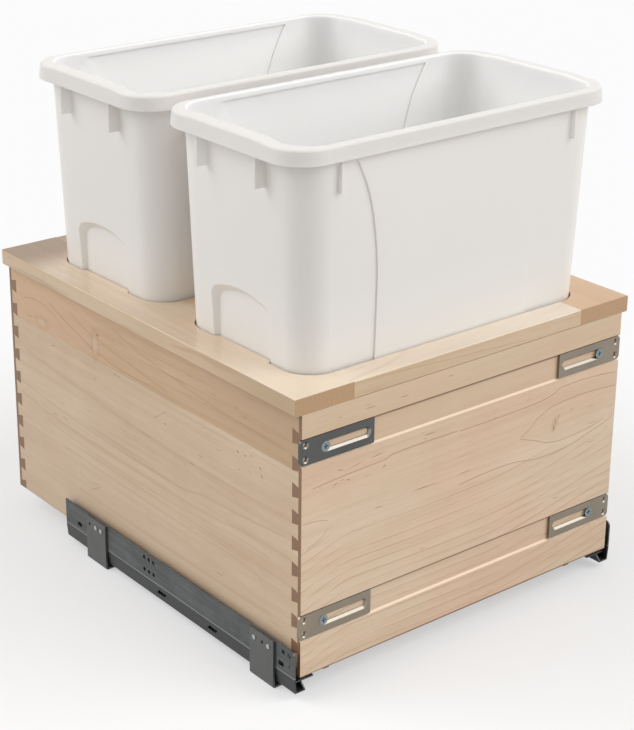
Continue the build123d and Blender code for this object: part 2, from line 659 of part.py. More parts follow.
def bracket_plate(overhang):
    """A right hand door bracket, before it is set at its height."""
    outer_x = SIDE + overhang
    inner_x = outer_x - BRACKET_LENGTH
    back_y = FRONT + GROOVE_DEPTH - SLIDING_GAP
    face_y = back_y - BRACKET_THICK
    plate = block(inner_x, outer_x, face_y, back_y, -BRACKET_WIDTH / 2, BRACKET_WIDTH / 2)
    corners = plate.edges().filter_by(Axis.Y).group_by(Axis.X)
    plate = fillet(corners[-1], BRACKET_CORNER_RADIUS)
    corners = plate.edges().filter_by(Axis.Y).group_by(Axis.X)
    plate = fillet(corners[0], BRACKET_INNER_CORNER_RADIUS)
    slot_outer = outer_x - SLOT_OUTER_MARGIN
    slot_inner = inner_x + SLOT_INNER_MARGIN
    length = slot_outer - slot_inner
    middle = (slot_outer + slot_inner) / 2
    turn = Rot(90, 0, 0)
    bevel = (SLOT_FACE_WIDTH - SLOT_WIDTH) / 2
    through = SlotOverall(length - 2 * bevel, SLOT_WIDTH)
    plate -= extrude(Pos(middle, back_y + OVERRUN, 0) * turn * through, amount=BRACKET_THICK + 2 * OVERRUN)
    mouth = Pos(middle, face_y, 0) * turn * SlotOverall(length, SLOT_FACE_WIDTH)
    neck = Pos(middle, face_y + bevel, 0) * turn * through
    plate -= loft([mouth, neck], ruled=True)
    for sign in (-1, 1):
        at = Pos(outer_x - DOOR_HOLE_MARGIN, 0, sign * DOOR_HOLE_SPACING / 2)
        sink_y = face_y + DOOR_HOLE_SINK_DEPTH / 2
        plate -= Pos(0, back_y, 0) * at * turn * Cylinder(DOOR_HOLE_RADIUS, 2 * BRACKET_THICK + OVERRUN)
        plate -= Pos(0, sink_y, 0) * at * turn * Cone(DOOR_HOLE_RADIUS, DOOR_HOLE_SINK_RADIUS,
                                                      DOOR_HOLE_SINK_DEPTH)
    return plate


def door_bracket(side, height):
    """A door bracket on one side, -1 for the left and 1 for the right."""
    plate = bracket_plate(LEFT_BRACKET_OVERHANG if side < 0 else RIGHT_BRACKET_OVERHANG)
    plate = Pos(0, 0, BASE + height) * plate
    return other_side(plate) if side < 0 else plate


def cross_recess(depth, width, span):
    """The cross shaped recess of a screw head, cut downwards from its flat face."""
    arm = Pos(0, 0, -depth / 2) * Box(span, width, depth)
    return arm + Rot(0, 0, 90) * arm


def screw_blank():
    """A countersunk screw without its recess, pointing along -Z with its face at the origin."""
    neck_z = -SCREW_HEAD_RIM - (SCREW_HEAD_RADIUS - SCREW_SHANK_RADIUS)
    outline = Polyline((0, 0), (SCREW_HEAD_RADIUS, 0), (SCREW_HEAD_RADIUS, -SCREW_HEAD_RIM),
                       (SCREW_SHANK_RADIUS, neck_z), (SCREW_SHANK_RADIUS, SCREW_TIP_LENGTH - SCREW_LENGTH),
                       (0, -SCREW_LENGTH), close=True)
    return revolve(Plane.XZ * make_face(outline.edges()), Axis.Z)


def at_bracket_screws(screw):
    """Copies of a screw where the four screws sit in the bevels of the bracket slots."""
    bevel_gap = SLOT_FACE_WIDTH / 2 - SCREW_HEAD_RADIUS
    face_y = FRONT + GROOVE_DEPTH - SLIDING_GAP - BRACKET_THICK
    head_y = face_y + bevel_gap - SCREW_HEAD_RIM - 2 * SLIDING_GAP
    return [Pos(x, head_y, z) * Rot(90, 0, 0) * screw for x, z in bracket_screw_places()]


def bracket_screws():
    """The four screws that clamp the door brackets."""
    return at_bracket_screws(screw_blank() - cross_recess(RECESS_DEPTH, RECESS_WIDTH, RECESS_SPAN))


# Runners, drawn for the right hand side

def cabinet_profile_section():
    """Outline of the fixed profile: a leg, a leaning lower band and a trough with a raised lip."""
    trough_x = LEG_X - BAND_LEAN
    low = BASE - TROUGH_DEPTH
    crease = BASE + CREASE_HEIGHT
    lip_top = low + LIP_HEIGHT
    leg_top = BASE + LEG_TOP_HEIGHT
    lip_x = TROUGH_INNER_X + SHEET
    outside = [(LEG_X, leg_top), (LEG_X, crease), (trough_x, low), (TROUGH_INNER_X, low)]
    inside = [(lip_x, low + SHEET), (trough_x - SHEET, low + SHEET), (LEG_X - SHEET, crease)]
    return outside + [(TROUGH_INNER_X, lip_top), (lip_x, lip_top)] + inside + [(LEG_X - SHEET, leg_top)]


def leg_cut(setback, height, outline):
    """A cut through the leg of the cabinet profile with a flat outline."""
    at = Pos(LEG_X + OVERRUN, FRONT + setback, BASE + height) * Rot(0, 90, 0) * Rot(0, 0, 90)
    return extrude(at * outline, amount=-SHEET - 2 * OVERRUN)


def cabinet_profile():
    """The fixed profile of the right hand runner, with its fixing holes."""
    y0 = FRONT
    y1 = FRONT + RUNNER_LENGTH
    profile = along_y(cabinet_profile_section(), y0, y1)
    top_front = profile.edges().filter_by(Axis.X).group_by(Axis.Y)[0].sort_by(Axis.Z)[-1]
    profile = fillet(top_front, LEG_CORNER_RADIUS)
    lip_top = BASE - TROUGH_DEPTH + LIP_HEIGHT
    over_y = y0 - OVERRUN
    over_z = lip_top + OVERRUN
    bevel = [(over_y, lip_top - LIP_FRONT_BEVEL - OVERRUN), (y0 + LIP_FRONT_BEVEL + OVERRUN, over_z),
             (over_y, over_z)]
    profile -= along_x(bevel, TROUGH_INNER_X - OVERRUN, TROUGH_INNER_X + OVERRUN)
    for setback in UPPER_HOLE_SETBACKS:
        profile -= leg_cut(setback, UPPER_HOLE_HEIGHT, Circle(UPPER_HOLE_RADIUS))
    for setback in LOWER_HOLE_SETBACKS:
        profile -= leg_cut(setback, LOWER_HOLE_HEIGHT, Circle(LOWER_HOLE_RADIUS))
    profile -= leg_cut(SMALL_HOLE_SETBACK, SMALL_HOLE_HEIGHT, Circle(SMALL_HOLE_RADIUS))
    front_slot = Rectangle(FRONT_SLOT_LENGTH, FRONT_SLOT_WIDTH)
    profile -= leg_cut(FRONT_SLOT_SETBACK, FRONT_SLOT_HEIGHT, front_slot)
    rear_oval = SlotOverall(REAR_OVAL_LENGTH, REAR_OVAL_WIDTH)
    profile -= leg_cut(RUNNER_LENGTH - REAR_OVAL_MARGIN, REAR_OVAL_HEIGHT, rear_oval)
    for setback in WINDOW_SETBACKS:
        y = FRONT + setback
        z = BASE + WINDOW_HEIGHT
        half = WINDOW_LENGTH / 2
        rise = WINDOW_WIDTH / 2
        window = [(y - half - WINDOW_SLANT, z + rise), (y + half - WINDOW_SLANT, z + rise),
                  (y + half + WINDOW_SLANT, z - rise), (y - half + WINDOW_SLANT, z - rise)]
        profile -= along_x(window, LEG_X - OVERRUN / 2 - SHEET, LEG_X + OVERRUN)
    for hole_y in rivet_places():
        profile -= rod_x(LEG_X - OVERRUN, LEG_X + OVERRUN, hole_y, BASE + RIVET_HEIGHT, RIVET_RADIUS)
    return profile


def middle_profile():
    """The middle profile. Its shelf rides on the trough balls and its raised track carries the drawer."""
    y0 = FRONT + MIDDLE_FRONT_SETBACK
    y1 = FRONT + RUNNER_LENGTH
    rise_y = FRONT + MIDDLE_RISE_SETBACK
    shelf_outer = LEG_X - SHEET - MIDDLE_SIDE_GAP
    shelf_top = MIDDLE_SHELF_Z + SHEET
    shelf = block(MIDDLE_WALL_X, shelf_outer, y0, y1, MIDDLE_SHELF_Z, shelf_top)
    guide_x = TROUGH_INNER_X - GUIDE_GAP
    guide_low = MIDDLE_SHELF_Z - GUIDE_DEPTH
    guide = block(guide_x - SHEET, guide_x, y0 + LIP_FRONT_BEVEL, y1, guide_low, shelf_top)
    wall_x = MIDDLE_WALL_X + SHEET
    wall = block(MIDDLE_WALL_X, wall_x, rise_y, y1, MIDDLE_SHELF_Z, MIDDLE_TOP_Z)
    track = block(MIDDLE_INNER_X, wall_x, rise_y, y1, MIDDLE_TOP_Z - SHEET, MIDDLE_TOP_Z)
    edge_low = MIDDLE_TOP_Z - MIDDLE_INNER_DEPTH
    edge = block(MIDDLE_INNER_X, MIDDLE_INNER_X + SHEET, rise_y, y1, edge_low, MIDDLE_TOP_Z)
    return shelf + guide + wall + track + edge


def drawer_profile():
    """The drawer profile, a cap over the middle profile with a lip that stops it lifting off."""
    y0 = FRONT + DRAWER_PROFILE_SETBACK
    y1 = y0 + DRAWER_PROFILE_LENGTH
    outer = DRAWER_PROFILE_OUTER_X
    inner = DRAWER_PROFILE_INNER_X
    top = PANEL_BOTTOM
    outer_low = top - DRAWER_OUTER_LEG
    inner_low = top - DRAWER_INNER_LEG
    lip_x = inner + DRAWER_LIP_WIDTH
    section = [(inner, top), (outer, top), (outer, outer_low), (outer - SHEET, outer_low),
               (outer - SHEET, top - SHEET), (inner + SHEET, top - SHEET),
               (inner + SHEET, inner_low + SHEET), (lip_x, inner_low + SHEET), (lip_x, inner_low),
               (inner, inner_low)]
    profile = along_y(section, y0, y1)
    hook_y = FRONT + CLEAT_SETBACK + HOOK_LENGTH - SLIDING_GAP
    profile += block(HOOK_X - HOOK_WIDTH / 2, HOOK_X + HOOK_WIDTH / 2, y1 - SHEET, hook_y, top - SHEET, top)
    catch_y = FRONT + CATCH_WINDOW_SETBACK
    catch_z = BASE + LOCK_SLOT_BOTTOM + LOCK_SLOT_HEIGHT / 2
    profile -= block(inner - OVERRUN, inner + SHEET + OVERRUN / 2, catch_y - CATCH_WINDOW_LENGTH / 2,
                     catch_y + CATCH_WINDOW_LENGTH / 2, catch_z - CATCH_WINDOW_HEIGHT / 2,
                     catch_z + CATCH_WINDOW_HEIGHT / 2)
    return profile


def ball_track(middle_x, row_spacing, z, radius, cage):
    """Balls in one or two rows and the flat cage that keeps them apart. The cage is
    (setback, length, width, ball shares)."""
    setback, length, width, shares = cage
    y0 = FRONT + setback
    rows = {middle_x - row_spacing / 2, middle_x + row_spacing / 2}
    places = [(x, y0 + share * length) for x in sorted(rows) for share in shares]
    balls = [Pos(x, y, z) * Sphere(radius) for x, y in places]
    strip = block(middle_x - width / 2, middle_x + width / 2, y0, y0 + length, z - CAGE_THICK / 2,
                  z + CAGE_THICK / 2)
    for x, y in places:
        strip -= rod_z(x, y, z - CAGE_THICK, z + CAGE_THICK, radius + CAGE_BALL_GAP)
    return balls, strip


def lower_track():
    """Balls and cage between the trough and the shelf of the middle profile."""
    x = (TROUGH_INNER_X + SHEET + LEG_X - BAND_LEAN - SHEET) / 2
    z = TROUGH_FLOOR + TRACK_BALL_RADIUS + BALL_GAP
    cage = (LOWER_CAGE_SETBACK, LOWER_CAGE_LENGTH, LOWER_CAGE_WIDTH, LOWER_BALL_SHARES)
    return ball_track(x, 0, z, TRACK_BALL_RADIUS, cage)


def upper_track():
    """Balls in two rows and their cage between the middle and drawer profiles."""
    x = MIDDLE_WALL_X + SHEET - MIDDLE_TRACK_WIDTH / 2
    z = MIDDLE_TOP_Z + LOAD_BALL_RADIUS + BALL_GAP
    cage = (UPPER_CAGE_SETBACK, UPPER_CAGE_LENGTH, UPPER_CAGE_WIDTH, UPPER_BALL_SHARES)
    return ball_track(x, UPPER_ROW_SPACING, z, LOAD_BALL_RADIUS, cage)


# Riser brackets

def rivet_places():
    """Y of the rivets that join a runner to its front and rear riser brackets."""
    front = [FRONT + RISER_SETBACKS[0] + share * RISER_WIDTH for share in FRONT_RIVET_SHARES]
    rear = [FRONT + RISER_SETBACKS[1] + share * RISER_WIDTH for share in REAR_RIVET_SHARES]
    return front + rear


def floor_hole_places(setback):
    """Y of the two floor screws of a riser bracket."""
    middle = FRONT + setback + RISER_WIDTH / 2
    return [middle - FLOOR_HOLE_SPACING / 2, middle + FLOOR_HOLE_SPACING / 2]


def riser_bracket(setback, hole_share):
    """An angle bracket that stands on the cabinet floor and holds the right hand runner."""
    y0 = FRONT + setback
    y1 = y0 + RISER_WIDTH
    outer = LEG_X + RISER_THICK
    inner = outer - RISER_FLANGE_LENGTH
    top = BASE + RISER_TOP_HEIGHT
    angle = along_y([(LEG_X, top), (outer, top), (outer, 0), (inner, 0), (inner, RISER_THICK),
                     (LEG_X, RISER_THICK)], y0, y1)
    bend = angle.edges().filter_by(Axis.Y).group_by(Axis.Z)[0].sort_by(Axis.X)[-1]
    angle = fillet(bend, RISER_BEND_RADIUS)
    angle = fillet(angle.edges().filter_by(Axis.Z).group_by(Axis.X)[0], RISER_CORNER_RADIUS)
    for y in floor_hole_places(setback):
        angle -= rod_z(FLOOR_HOLE_X, y, -OVERRUN, RISER_THICK + OVERRUN, FLOOR_HOLE_RADIUS)
    spare_y = y0 + hole_share * RISER_WIDTH
    angle -= rod_x(LEG_X - OVERRUN, outer + OVERRUN, spare_y, BASE + RIVET_HEIGHT, RISER_HOLE_RADIUS)
    for y in rivet_places():
        angle -= rod_x(LEG_X - OVERRUN, outer + OVERRUN, y, BASE + RIVET_HEIGHT, RIVET_RADIUS)
    return angle


def riser_rivets():
    """The rivets between the cabinet profile and its riser brackets."""
    z = BASE + RIVET_HEIGHT
    inner = LEG_X - SHEET
    outer = LEG_X + RISER_THICK
    rivets = []
    for y in rivet_places():
        shank = rod_x(inner - RIVET_HEAD_THICK, outer + RIVET_HEAD_THICK, y, z, RIVET_RADIUS)
        head = rod_x(outer, outer + RIVET_HEAD_THICK, y, z, RIVET_HEAD_RADIUS)
        tail = rod_x(inner - RIVET_HEAD_THICK, inner, y, z, RIVET_HEAD_RADIUS)
        rivets.append(shank + head + tail)
    return rivets


# Locking devices

def lock_housing():
    """The block under the front of the box that holds the release lever."""
    y0 = FRONT + BOARD_THICK
    y1 = y0 + LOCK_LENGTH
    top = PANEL_BOTTOM
    low = top - LOCK_HEIGHT
    slot_low = BASE + LOCK_SLOT_BOTTOM
    housing = block(LOCK_INNER_X, LOCK_OUTER_X, y0, y1, low, top)
    housing = fillet(housing.edges().filter_by(Axis.Z).group_by(Axis.Y)[-1], LOCK_CORNER_RADIUS)
    slot_top = slot_low + LOCK_SLOT_HEIGHT
    over_x = LOCK_OUTER_X + OVERRUN
    over_y = y0 - OVERRUN
    housing -= block(LOCK_CHEEK_X, over_x, over_y, y1 + OVERRUN, slot_low, slot_top)
    housing -= block(LOCK_CHEEK_X, over_x, over_y, y0 + LEVER_ARM_LENGTH, low - OVERRUN, slot_top)
    pivot_y = y0 + LEVER_PIVOT_OFFSET
    housing += rod_z(LEVER_PIVOT_X, pivot_y, low, top, LEVER_PIN_RADIUS)
    for offset in LOCK_SCREW_OFFSETS:
        screw_y = y0 + offset
        seat_z = low + LOCK_SCREW_HEAD_THICK
        housing -= rod_z(LOCK_SCREW_X, screw_y, low - OVERRUN, top + OVERRUN, LOCK_SCREW_RADIUS)
        housing -= rod_z(LOCK_SCREW_X, screw_y, low - OVERRUN, seat_z, LOCK_SCREW_HEAD_RADIUS)
    return housing


def lock_screws():
    """The screws that hold a locking device under the bottom panel."""
    low = PANEL_BOTTOM - LOCK_HEIGHT
    y0 = FRONT + BOARD_THICK
    span = RECESS_SPAN * LOCK_SCREW_HEAD_RADIUS / SCREW_HEAD_RADIUS
    recess = Rot(180, 0, 0) * cross_recess(LOCK_SCREW_HEAD_THICK / 2, RECESS_WIDTH, span)
    seat_z = low + LOCK_SCREW_HEAD_THICK
    screws = []
    for offset in LOCK_SCREW_OFFSETS:
        y = y0 + offset
        screw = rod_z(LOCK_SCREW_X, y, low, low + LOCK_SCREW_LENGTH, LOCK_SCREW_RADIUS)
        screw += rod_z(LOCK_SCREW_X, y, low, seat_z, LOCK_SCREW_HEAD_RADIUS)
        screws.append(screw - Pos(LOCK_SCREW_X, y, low) * recess)
    return screws


def lock_lever():
    """The release lever, with a nose in the drawer profile and a finger tab below the box."""
    y0 = FRONT + BOARD_THICK
    pivot_y = y0 + LEVER_PIVOT_OFFSET
    low = BASE + LOCK_SLOT_BOTTOM + (LOCK_SLOT_HEIGHT - LEVER_THICK) / 2
    high = low + LEVER_THICK
    half = LEVER_ARM_WIDTH / 2
    front_y = pivot_y - LEVER_ARM_LENGTH
    arm = block(LEVER_PIVOT_X - half, LEVER_PIVOT_X + half, front_y, pivot_y, low, high)
    arm += rod_z(LEVER_PIVOT_X, pivot_y, low, high, half)
    nose_y0 = FRONT + CATCH_WINDOW_SETBACK - LEVER_NOSE_WIDTH / 2
    nose_y1 = nose_y0 + LEVER_NOSE_WIDTH
    nose_x = DRAWER_PROFILE_INNER_X + LEVER_NOSE_REACH
    arm += block(LEVER_PIVOT_X, nose_x, nose_y0, nose_y1, low, high)
    tab_x = LEVER_PIVOT_X - half
    tab_low = high - LEVER_TAB_DROP
    arm += block(tab_x, tab_x + LEVER_TAB_THICK, front_y, front_y + LEVER_TAB_LENGTH, tab_low, high)
    pin_radius = LEVER_PIN_RADIUS + SLIDING_GAP
    return arm - rod_z(LEVER_PIVOT_X, pivot_y, low - OVERRUN, high + OVERRUN, pin_radius)


def save(name, shape):
    """Write one node."""
    solids = [solid for item in (shape if isinstance(shape, list) else [shape]) for solid in item.solids()]
    export_step(solids[0] if len(solids) == 1 else Compound(solids), f"parts/{name}.step")


def save_pair(name, shape):
    """Write a node for the right hand side and its mirror image for the left."""
    shapes = shape if isinstance(shape, list) else [shape]
    save(f"{name}_right", shapes)
    save(f"{name}_left", [other_side(item) for item in shapes])


save_pair("side_board", side_board())
save("front_board", front_board())
save("back_board", back_board())
save("bottom_panel", bottom_panel())
save("hook_cleat", hook_cleat())
save_pair("frame_stile", frame_stile())
for rail_name, rail in zip(("front", "middle", "rear"), frame_rails()):
    save(f"frame_rail_{rail_name}", rail)

one_bin = waste_bin()
for bin_name, bin_y in zip(("front", "rear"), BIN_MIDDLES):
    save(f"{bin_name}_bin", Pos(0, bin_y, PANEL_TOP) * one_bin)

for side_name, side_sign in (("left", -1), ("right", 1)):
    for level, groove_height in zip(("upper", "lower"), GROOVE_HEIGHTS):
        save(f"door_bracket_{level}_{side_name}", door_bracket(side_sign, groove_height))
save("door_bracket_screws", bracket_screws())

save_pair("cabinet_profile", cabinet_profile())
save_pair("middle_profile", middle_profile())
save_pair("drawer_profile", drawer_profile())
trough_balls, trough_cage = lower_track()
save_pair("lower_balls", trough_balls)
save_pair("lower_cage", trough_cage)
load_balls, load_cage = upper_track()
save_pair("upper_balls", load_balls)
save_pair("upper_cage", load_cage)

save_pair("riser_bracket_front", riser_bracket(RISER_SETBACKS[0], FRONT_HOLE_SHARE))
save_pair("riser_bracket_rear", riser_bracket(RISER_SETBACKS[1], REAR_HOLE_SHARE))
save_pair("riser_rivets", riser_rivets())

save_pair("lock_housing", lock_housing())
save_pair("lock_screws", lock_screws())
save_pair("lock_lever", lock_lever())
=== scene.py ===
import math

import bpy
from mathutils import Euler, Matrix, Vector

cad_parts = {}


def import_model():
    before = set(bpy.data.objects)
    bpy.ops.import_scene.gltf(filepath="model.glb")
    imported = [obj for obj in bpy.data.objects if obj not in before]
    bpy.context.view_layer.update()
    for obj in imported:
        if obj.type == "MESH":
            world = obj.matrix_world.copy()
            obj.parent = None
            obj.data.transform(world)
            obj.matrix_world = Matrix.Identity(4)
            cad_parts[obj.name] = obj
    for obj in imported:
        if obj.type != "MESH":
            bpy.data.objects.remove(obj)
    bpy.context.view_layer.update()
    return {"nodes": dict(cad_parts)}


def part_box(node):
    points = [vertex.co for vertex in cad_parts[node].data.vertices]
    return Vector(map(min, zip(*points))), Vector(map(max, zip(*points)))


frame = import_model()

# The photograph's frame in pixels, and the camera: place in metres, angles in degrees, focal length and
# middle of the picture in pixels
PHOTO_WIDTH = 634
PHOTO_HEIGHT = 730
CAMERA_PLACE = (-1.070, -1.323, 0.905)
CAMERA_TURN = 37.64
CAMERA_TILT = 20.92
CAMERA_FOCUS = 1826.0
FRAME_MIDDLE = (264.4, 306.6)

# Heights in metres: top of each groove and of the slant below it, seams of the side boards, where the
# painted light on a bin grows downwards, and the folds of the fixed runner profiles, with a painted
# highlight above the lower one
GROOVES = ((0.2532, 0.2286), (0.0841, 0.0595))
LEFT_SEAM = 0.2215
RIGHT_SEAM = 0.165
BIN_FOOT_LIGHT_FADE = (0.38, 0.29)
RUNNER_FOLD = 0.021
RUNNER_GLINT = RUNNER_FOLD + 0.0018
RUNNER_STEP = 0.0478

# Width of a sharp change between two tones of wood, length over which a grain line fades out at its ends,
# and the room above and below its points, in metres
EDGE = 0.0003
LINE_FADE = 0.004
LINE_ROOM = 0.001

# How far, in metres, a bin's surface faces its middle where the painted light on its inside begins and is
# full
BIN_TURN = (0.002, 0.010)

# Colours from 0 to 255: own colours as they look in even light, and painted light, shade and reflections
MAPLE = (224, 202, 176)
MAPLE_DARK = (207, 179, 148)
MAPLE_PINK = (228, 197, 172)
MAPLE_SIDE = (216, 192, 165)
MAPLE_SIDE_DARK = (196, 168, 137)
MAPLE_SIDE_PINK = (215, 190, 164)
MAPLE_TAN = (208, 176, 142)
MAPLE_TAN_DARK = (188, 154, 119)
MAPLE_TAN_DEEP = (178, 149, 118)
MAPLE_TAN_RED = (214, 177, 143)
MAPLE_SHADE = (206, 180, 148)
MAPLE_END = (140, 106, 76)
MAPLE_LINE = (166, 121, 86)
# Dark marks of the wood, and the painted shadow under each groove's upper edge and along the front
# board's foot
MAPLE_MARK_AND_SHADOW = (116, 68, 38)
# Painted highlight on the slanted face under each groove
MAPLE_PAINTED_HIGHLIGHT = (246, 222, 196)
FRAME_SIDE = (214, 188, 156)
FRAME_SIDE_DARK = (196, 167, 132)
FRAME_SIDE_DEEP = (184, 156, 120)
FRAME_END = (190, 151, 111)
# Painted reflections on the top frame: lighter front of the left stile, brighter front rail, darker rear
# corner
TOP_PAINTED_REFLECTION = (232, 214, 192)
TOP_PAINTED_HIGHLIGHT = (248, 234, 214)
TOP_CORNER_PAINTED_SHADE = (150, 116, 76)
PANEL = (214, 190, 160)
BIN_WHITE = (234, 230, 226)
BIN_SHADE = (227, 223, 218)
# Painted light towards a bin's foot
BIN_FOOT_PAINTED_LIGHT = (240, 237, 232)
# Painted light on a bin's inside
BIN_INSIDE_PAINTED_LIGHT = (253, 252, 250)
ZINC = (80, 82, 83)
ZINC_LIGHT = (106, 110, 111)
# Painted shade on the runner's lower half, and painted shade and highlight along its folds
ZINC_LOW_PAINTED_SHADE = (58, 59, 58)
FOLD_PAINTED_SHADE = (48, 49, 49)
FOLD_PAINTED_HIGHLIGHT = (164, 168, 168)
STEP_PAINTED_SHADE = (60, 61, 62)
RISER_GREY = (99, 100, 98)
RISER_SHADE = (88, 89, 89)
BRACKET_GREY = (154, 144, 129)
# Painted light on the upward bevels of the door brackets
BRACKET_LIT_BEVEL = (150, 143, 132)
# Painted dark reflection on the upper left door bracket, with its own lit bevel
BRACKET_DARK_REFLECTION = (98, 99, 98)
BRACKET_DARK_LIT_BEVEL = (150, 145, 136)
SCREW_GREY = (146, 158, 163)
RIVET_GREY = (196, 197, 196)
BALL_GREY = (205, 206, 208)
CAGE_BLACK = (38, 38, 40)
LOCK_GREY = (66, 68, 70)
LEVER_ORANGE = (196, 104, 42)
FLOOR_WHITE = (248, 248, 248)
FLOOR_BOUNCE = (205, 204, 202)

# Painted shade and highlight lines on the fixed runner profiles: height, half width in metres, colour and
# strength
FOLD_SHADE_AND_HIGHLIGHT_LINES = ((RUNNER_FOLD, 0.0007, FOLD_PAINTED_SHADE, 0.6), (RUNNER_GLINT, 0.0010, FOLD_PAINTED_HIGHLIGHT, 0.5),
              (RUNNER_STEP, 0.0008, STEP_PAINTED_SHADE, 0.45))

# The four colours of a board: light, dark, a pinker patch and its end grain
SIDE_WOOD = (MAPLE_SIDE, MAPLE_SIDE_DARK, MAPLE_SIDE_PINK, MAPLE_END)
BOARD_WOOD = (MAPLE, MAPLE_DARK, MAPLE_PINK, MAPLE_END)
PANEL_WOOD = (PANEL, MAPLE_DARK, PANEL, MAPLE_END)
FRAME_WOOD = (FRAME_SIDE, FRAME_SIDE_DARK, FRAME_SIDE, FRAME_END)

# Light and dark tone of the top face of each piece of the top frame, with a painted reflection in it:
# lighter or darker than the sides of the same piece
LEFT_STILE_TOP_REFLECTION = ((232, 209, 183), (214, 186, 154))
RIGHT_STILE_TOP_REFLECTION = ((230, 190, 144), (212, 168, 120))
FRONT_RAIL_TOP_REFLECTION = ((240, 223, 202), (226, 206, 180))
MIDDLE_RAIL_TOP_REFLECTION = ((254, 217, 177), (243, 200, 156))
REAR_RAIL_TOP_REFLECTION = ((178, 149, 116), (160, 130, 97))

# Floor size in metres, how much of its look is its own white, and how strong the sky is as light
FLOOR_SIZE = 40
FLOOR_GLOW = 0.5
SKY_LIGHT = 0.50

# Each soft sun's direction and strength, and how wide they all are in degrees
SUNS = {"right_light": ((-0.50, 0.62, -0.60), 1.67), "left_light": ((0.62, -0.50, -0.60), 1.47)}
SUN_SPREAD = 50


def tone(colour):
    """A linear colour for a shader from one written from 0 to 255."""
    parts = [c / 255 for c in colour]
    linear = [c / 12.92 if c <= 0.04045 else ((c + 0.055) / 1.055) ** 2.4 for c in parts]
    return (*linear, 1.0)


def darker(colour, share):
    """A colour with only a share of its brightness."""
    return tuple(c * share for c in colour)


class Graph:
    """A material and short calls that add nodes to it."""

    def __init__(self, name):
        self.material = bpy.data.materials.new(name)
        self.material.use_nodes = True
        self.tree = self.material.node_tree
        self.tree.nodes.clear()
        self.place = self.add("TexCoord", output="Object")
        self.facing = self.add("TexCoord", output="Normal")

    def add(self, kind, inputs=None, output=0, **settings):
        """Add a node, set or link its inputs, and give back one of its outputs."""
        node = self.tree.nodes.new("ShaderNode" + kind)
        for key, value in settings.items():
            setattr(node, key, value)
        for key, value in (inputs or {}).items():
            self.put(node.inputs[key], value)
        return node.outputs[output]

    def put(self, socket, value):
        """Link an output to a socket, or set its value."""
        if isinstance(value, bpy.types.NodeSocket):
            self.tree.links.new(value, socket)
        else:
            socket.default_value = value

    def math(self, operation, *values):
        """One math step."""
        return self.add("Math", dict(enumerate(values)), operation=operation)

    def times(self, total, *others):
        """Values multiplied together."""
        for other in others:
            total = self.math("MULTIPLY", total, other)
        return total

    def plus(self, total, *others):
        """Values added together."""
        for other in others:
            total = self.math("ADD", total, other)
        return total

    def minus(self, first, second):
        """The first value less the second."""
        return self.math("SUBTRACT", first, second)

    def step(self, value, low, high):
        """A smooth step from 0 at low to 1 at high."""
        ends = {"Value": value, "From Min": low, "From Max": high}
        return self.add("MapRange", ends, interpolation_type="SMOOTHSTEP")

    def band(self, value, middle, outer, inner):
        """A value of 1 up to inner away from the middle, falling to 0 at outer."""
        return self.step(self.math("ABSOLUTE", self.minus(value, middle)), outer, inner)

    def mix(self, share, first, second):
        """A colour between two colours, through the colour sockets of a Mix node."""
        return self.add("Mix", {0: share, 6: first, 7: second}, output=2, data_type="RGBA")

    def tint(self, colour, other, share, strength):
        """A colour blended to a tone, by a share times a strength."""
        return self.mix(self.times(share, strength), colour, tone(other))

    def split(self, vector):
        """The x, y and z of a vector."""
        return self.add("SeparateXYZ", {0: vector}).node.outputs

    def stretch(self, sizes, vector=None):
        """The place, scaled along each axis."""
        return self.add("VectorMath", {0: vector or self.place, 1: sizes}, operation="MULTIPLY")

    def noise(self, vector, scale=1.0, detail=2.0, rough=0.5):
        """A noise value from 0 to 1."""
        inputs = {"Vector": vector, "Scale": scale, "Detail": detail, "Roughness": rough}
        return self.add("TexNoise", inputs)

    def bump(self, height, distance, strength, edge):
        """A bumped normal, with the edges rounded by a radius."""
        inputs = {"Height": height, "Distance": distance, "Strength": strength}
        inputs["Normal"] = self.add("Bevel", {"Radius": edge}, samples=4)
        return self.add("Bump", inputs)

    def surface(self, colour, roughness, normal=None, **settings):
        """Finish the material with a Principled shader."""
        shader = self.tree.nodes.new("ShaderNodeBsdfPrincipled")
        self.put(shader.inputs["Base Color"], colour)
        self.put(shader.inputs["Roughness"], roughness)
        if normal is not None:
            self.put(shader.inputs["Normal"], normal)
        for key, value in settings.items():
            shader.inputs[key.replace("_", " ")].default_value = value
        end = self.tree.nodes.new("ShaderNodeOutputMaterial")
        self.tree.links.new(shader.outputs[0], end.inputs[0])
        return self.material


# Wood

AXES = {"x": 0, "y": 1, "z": 2}


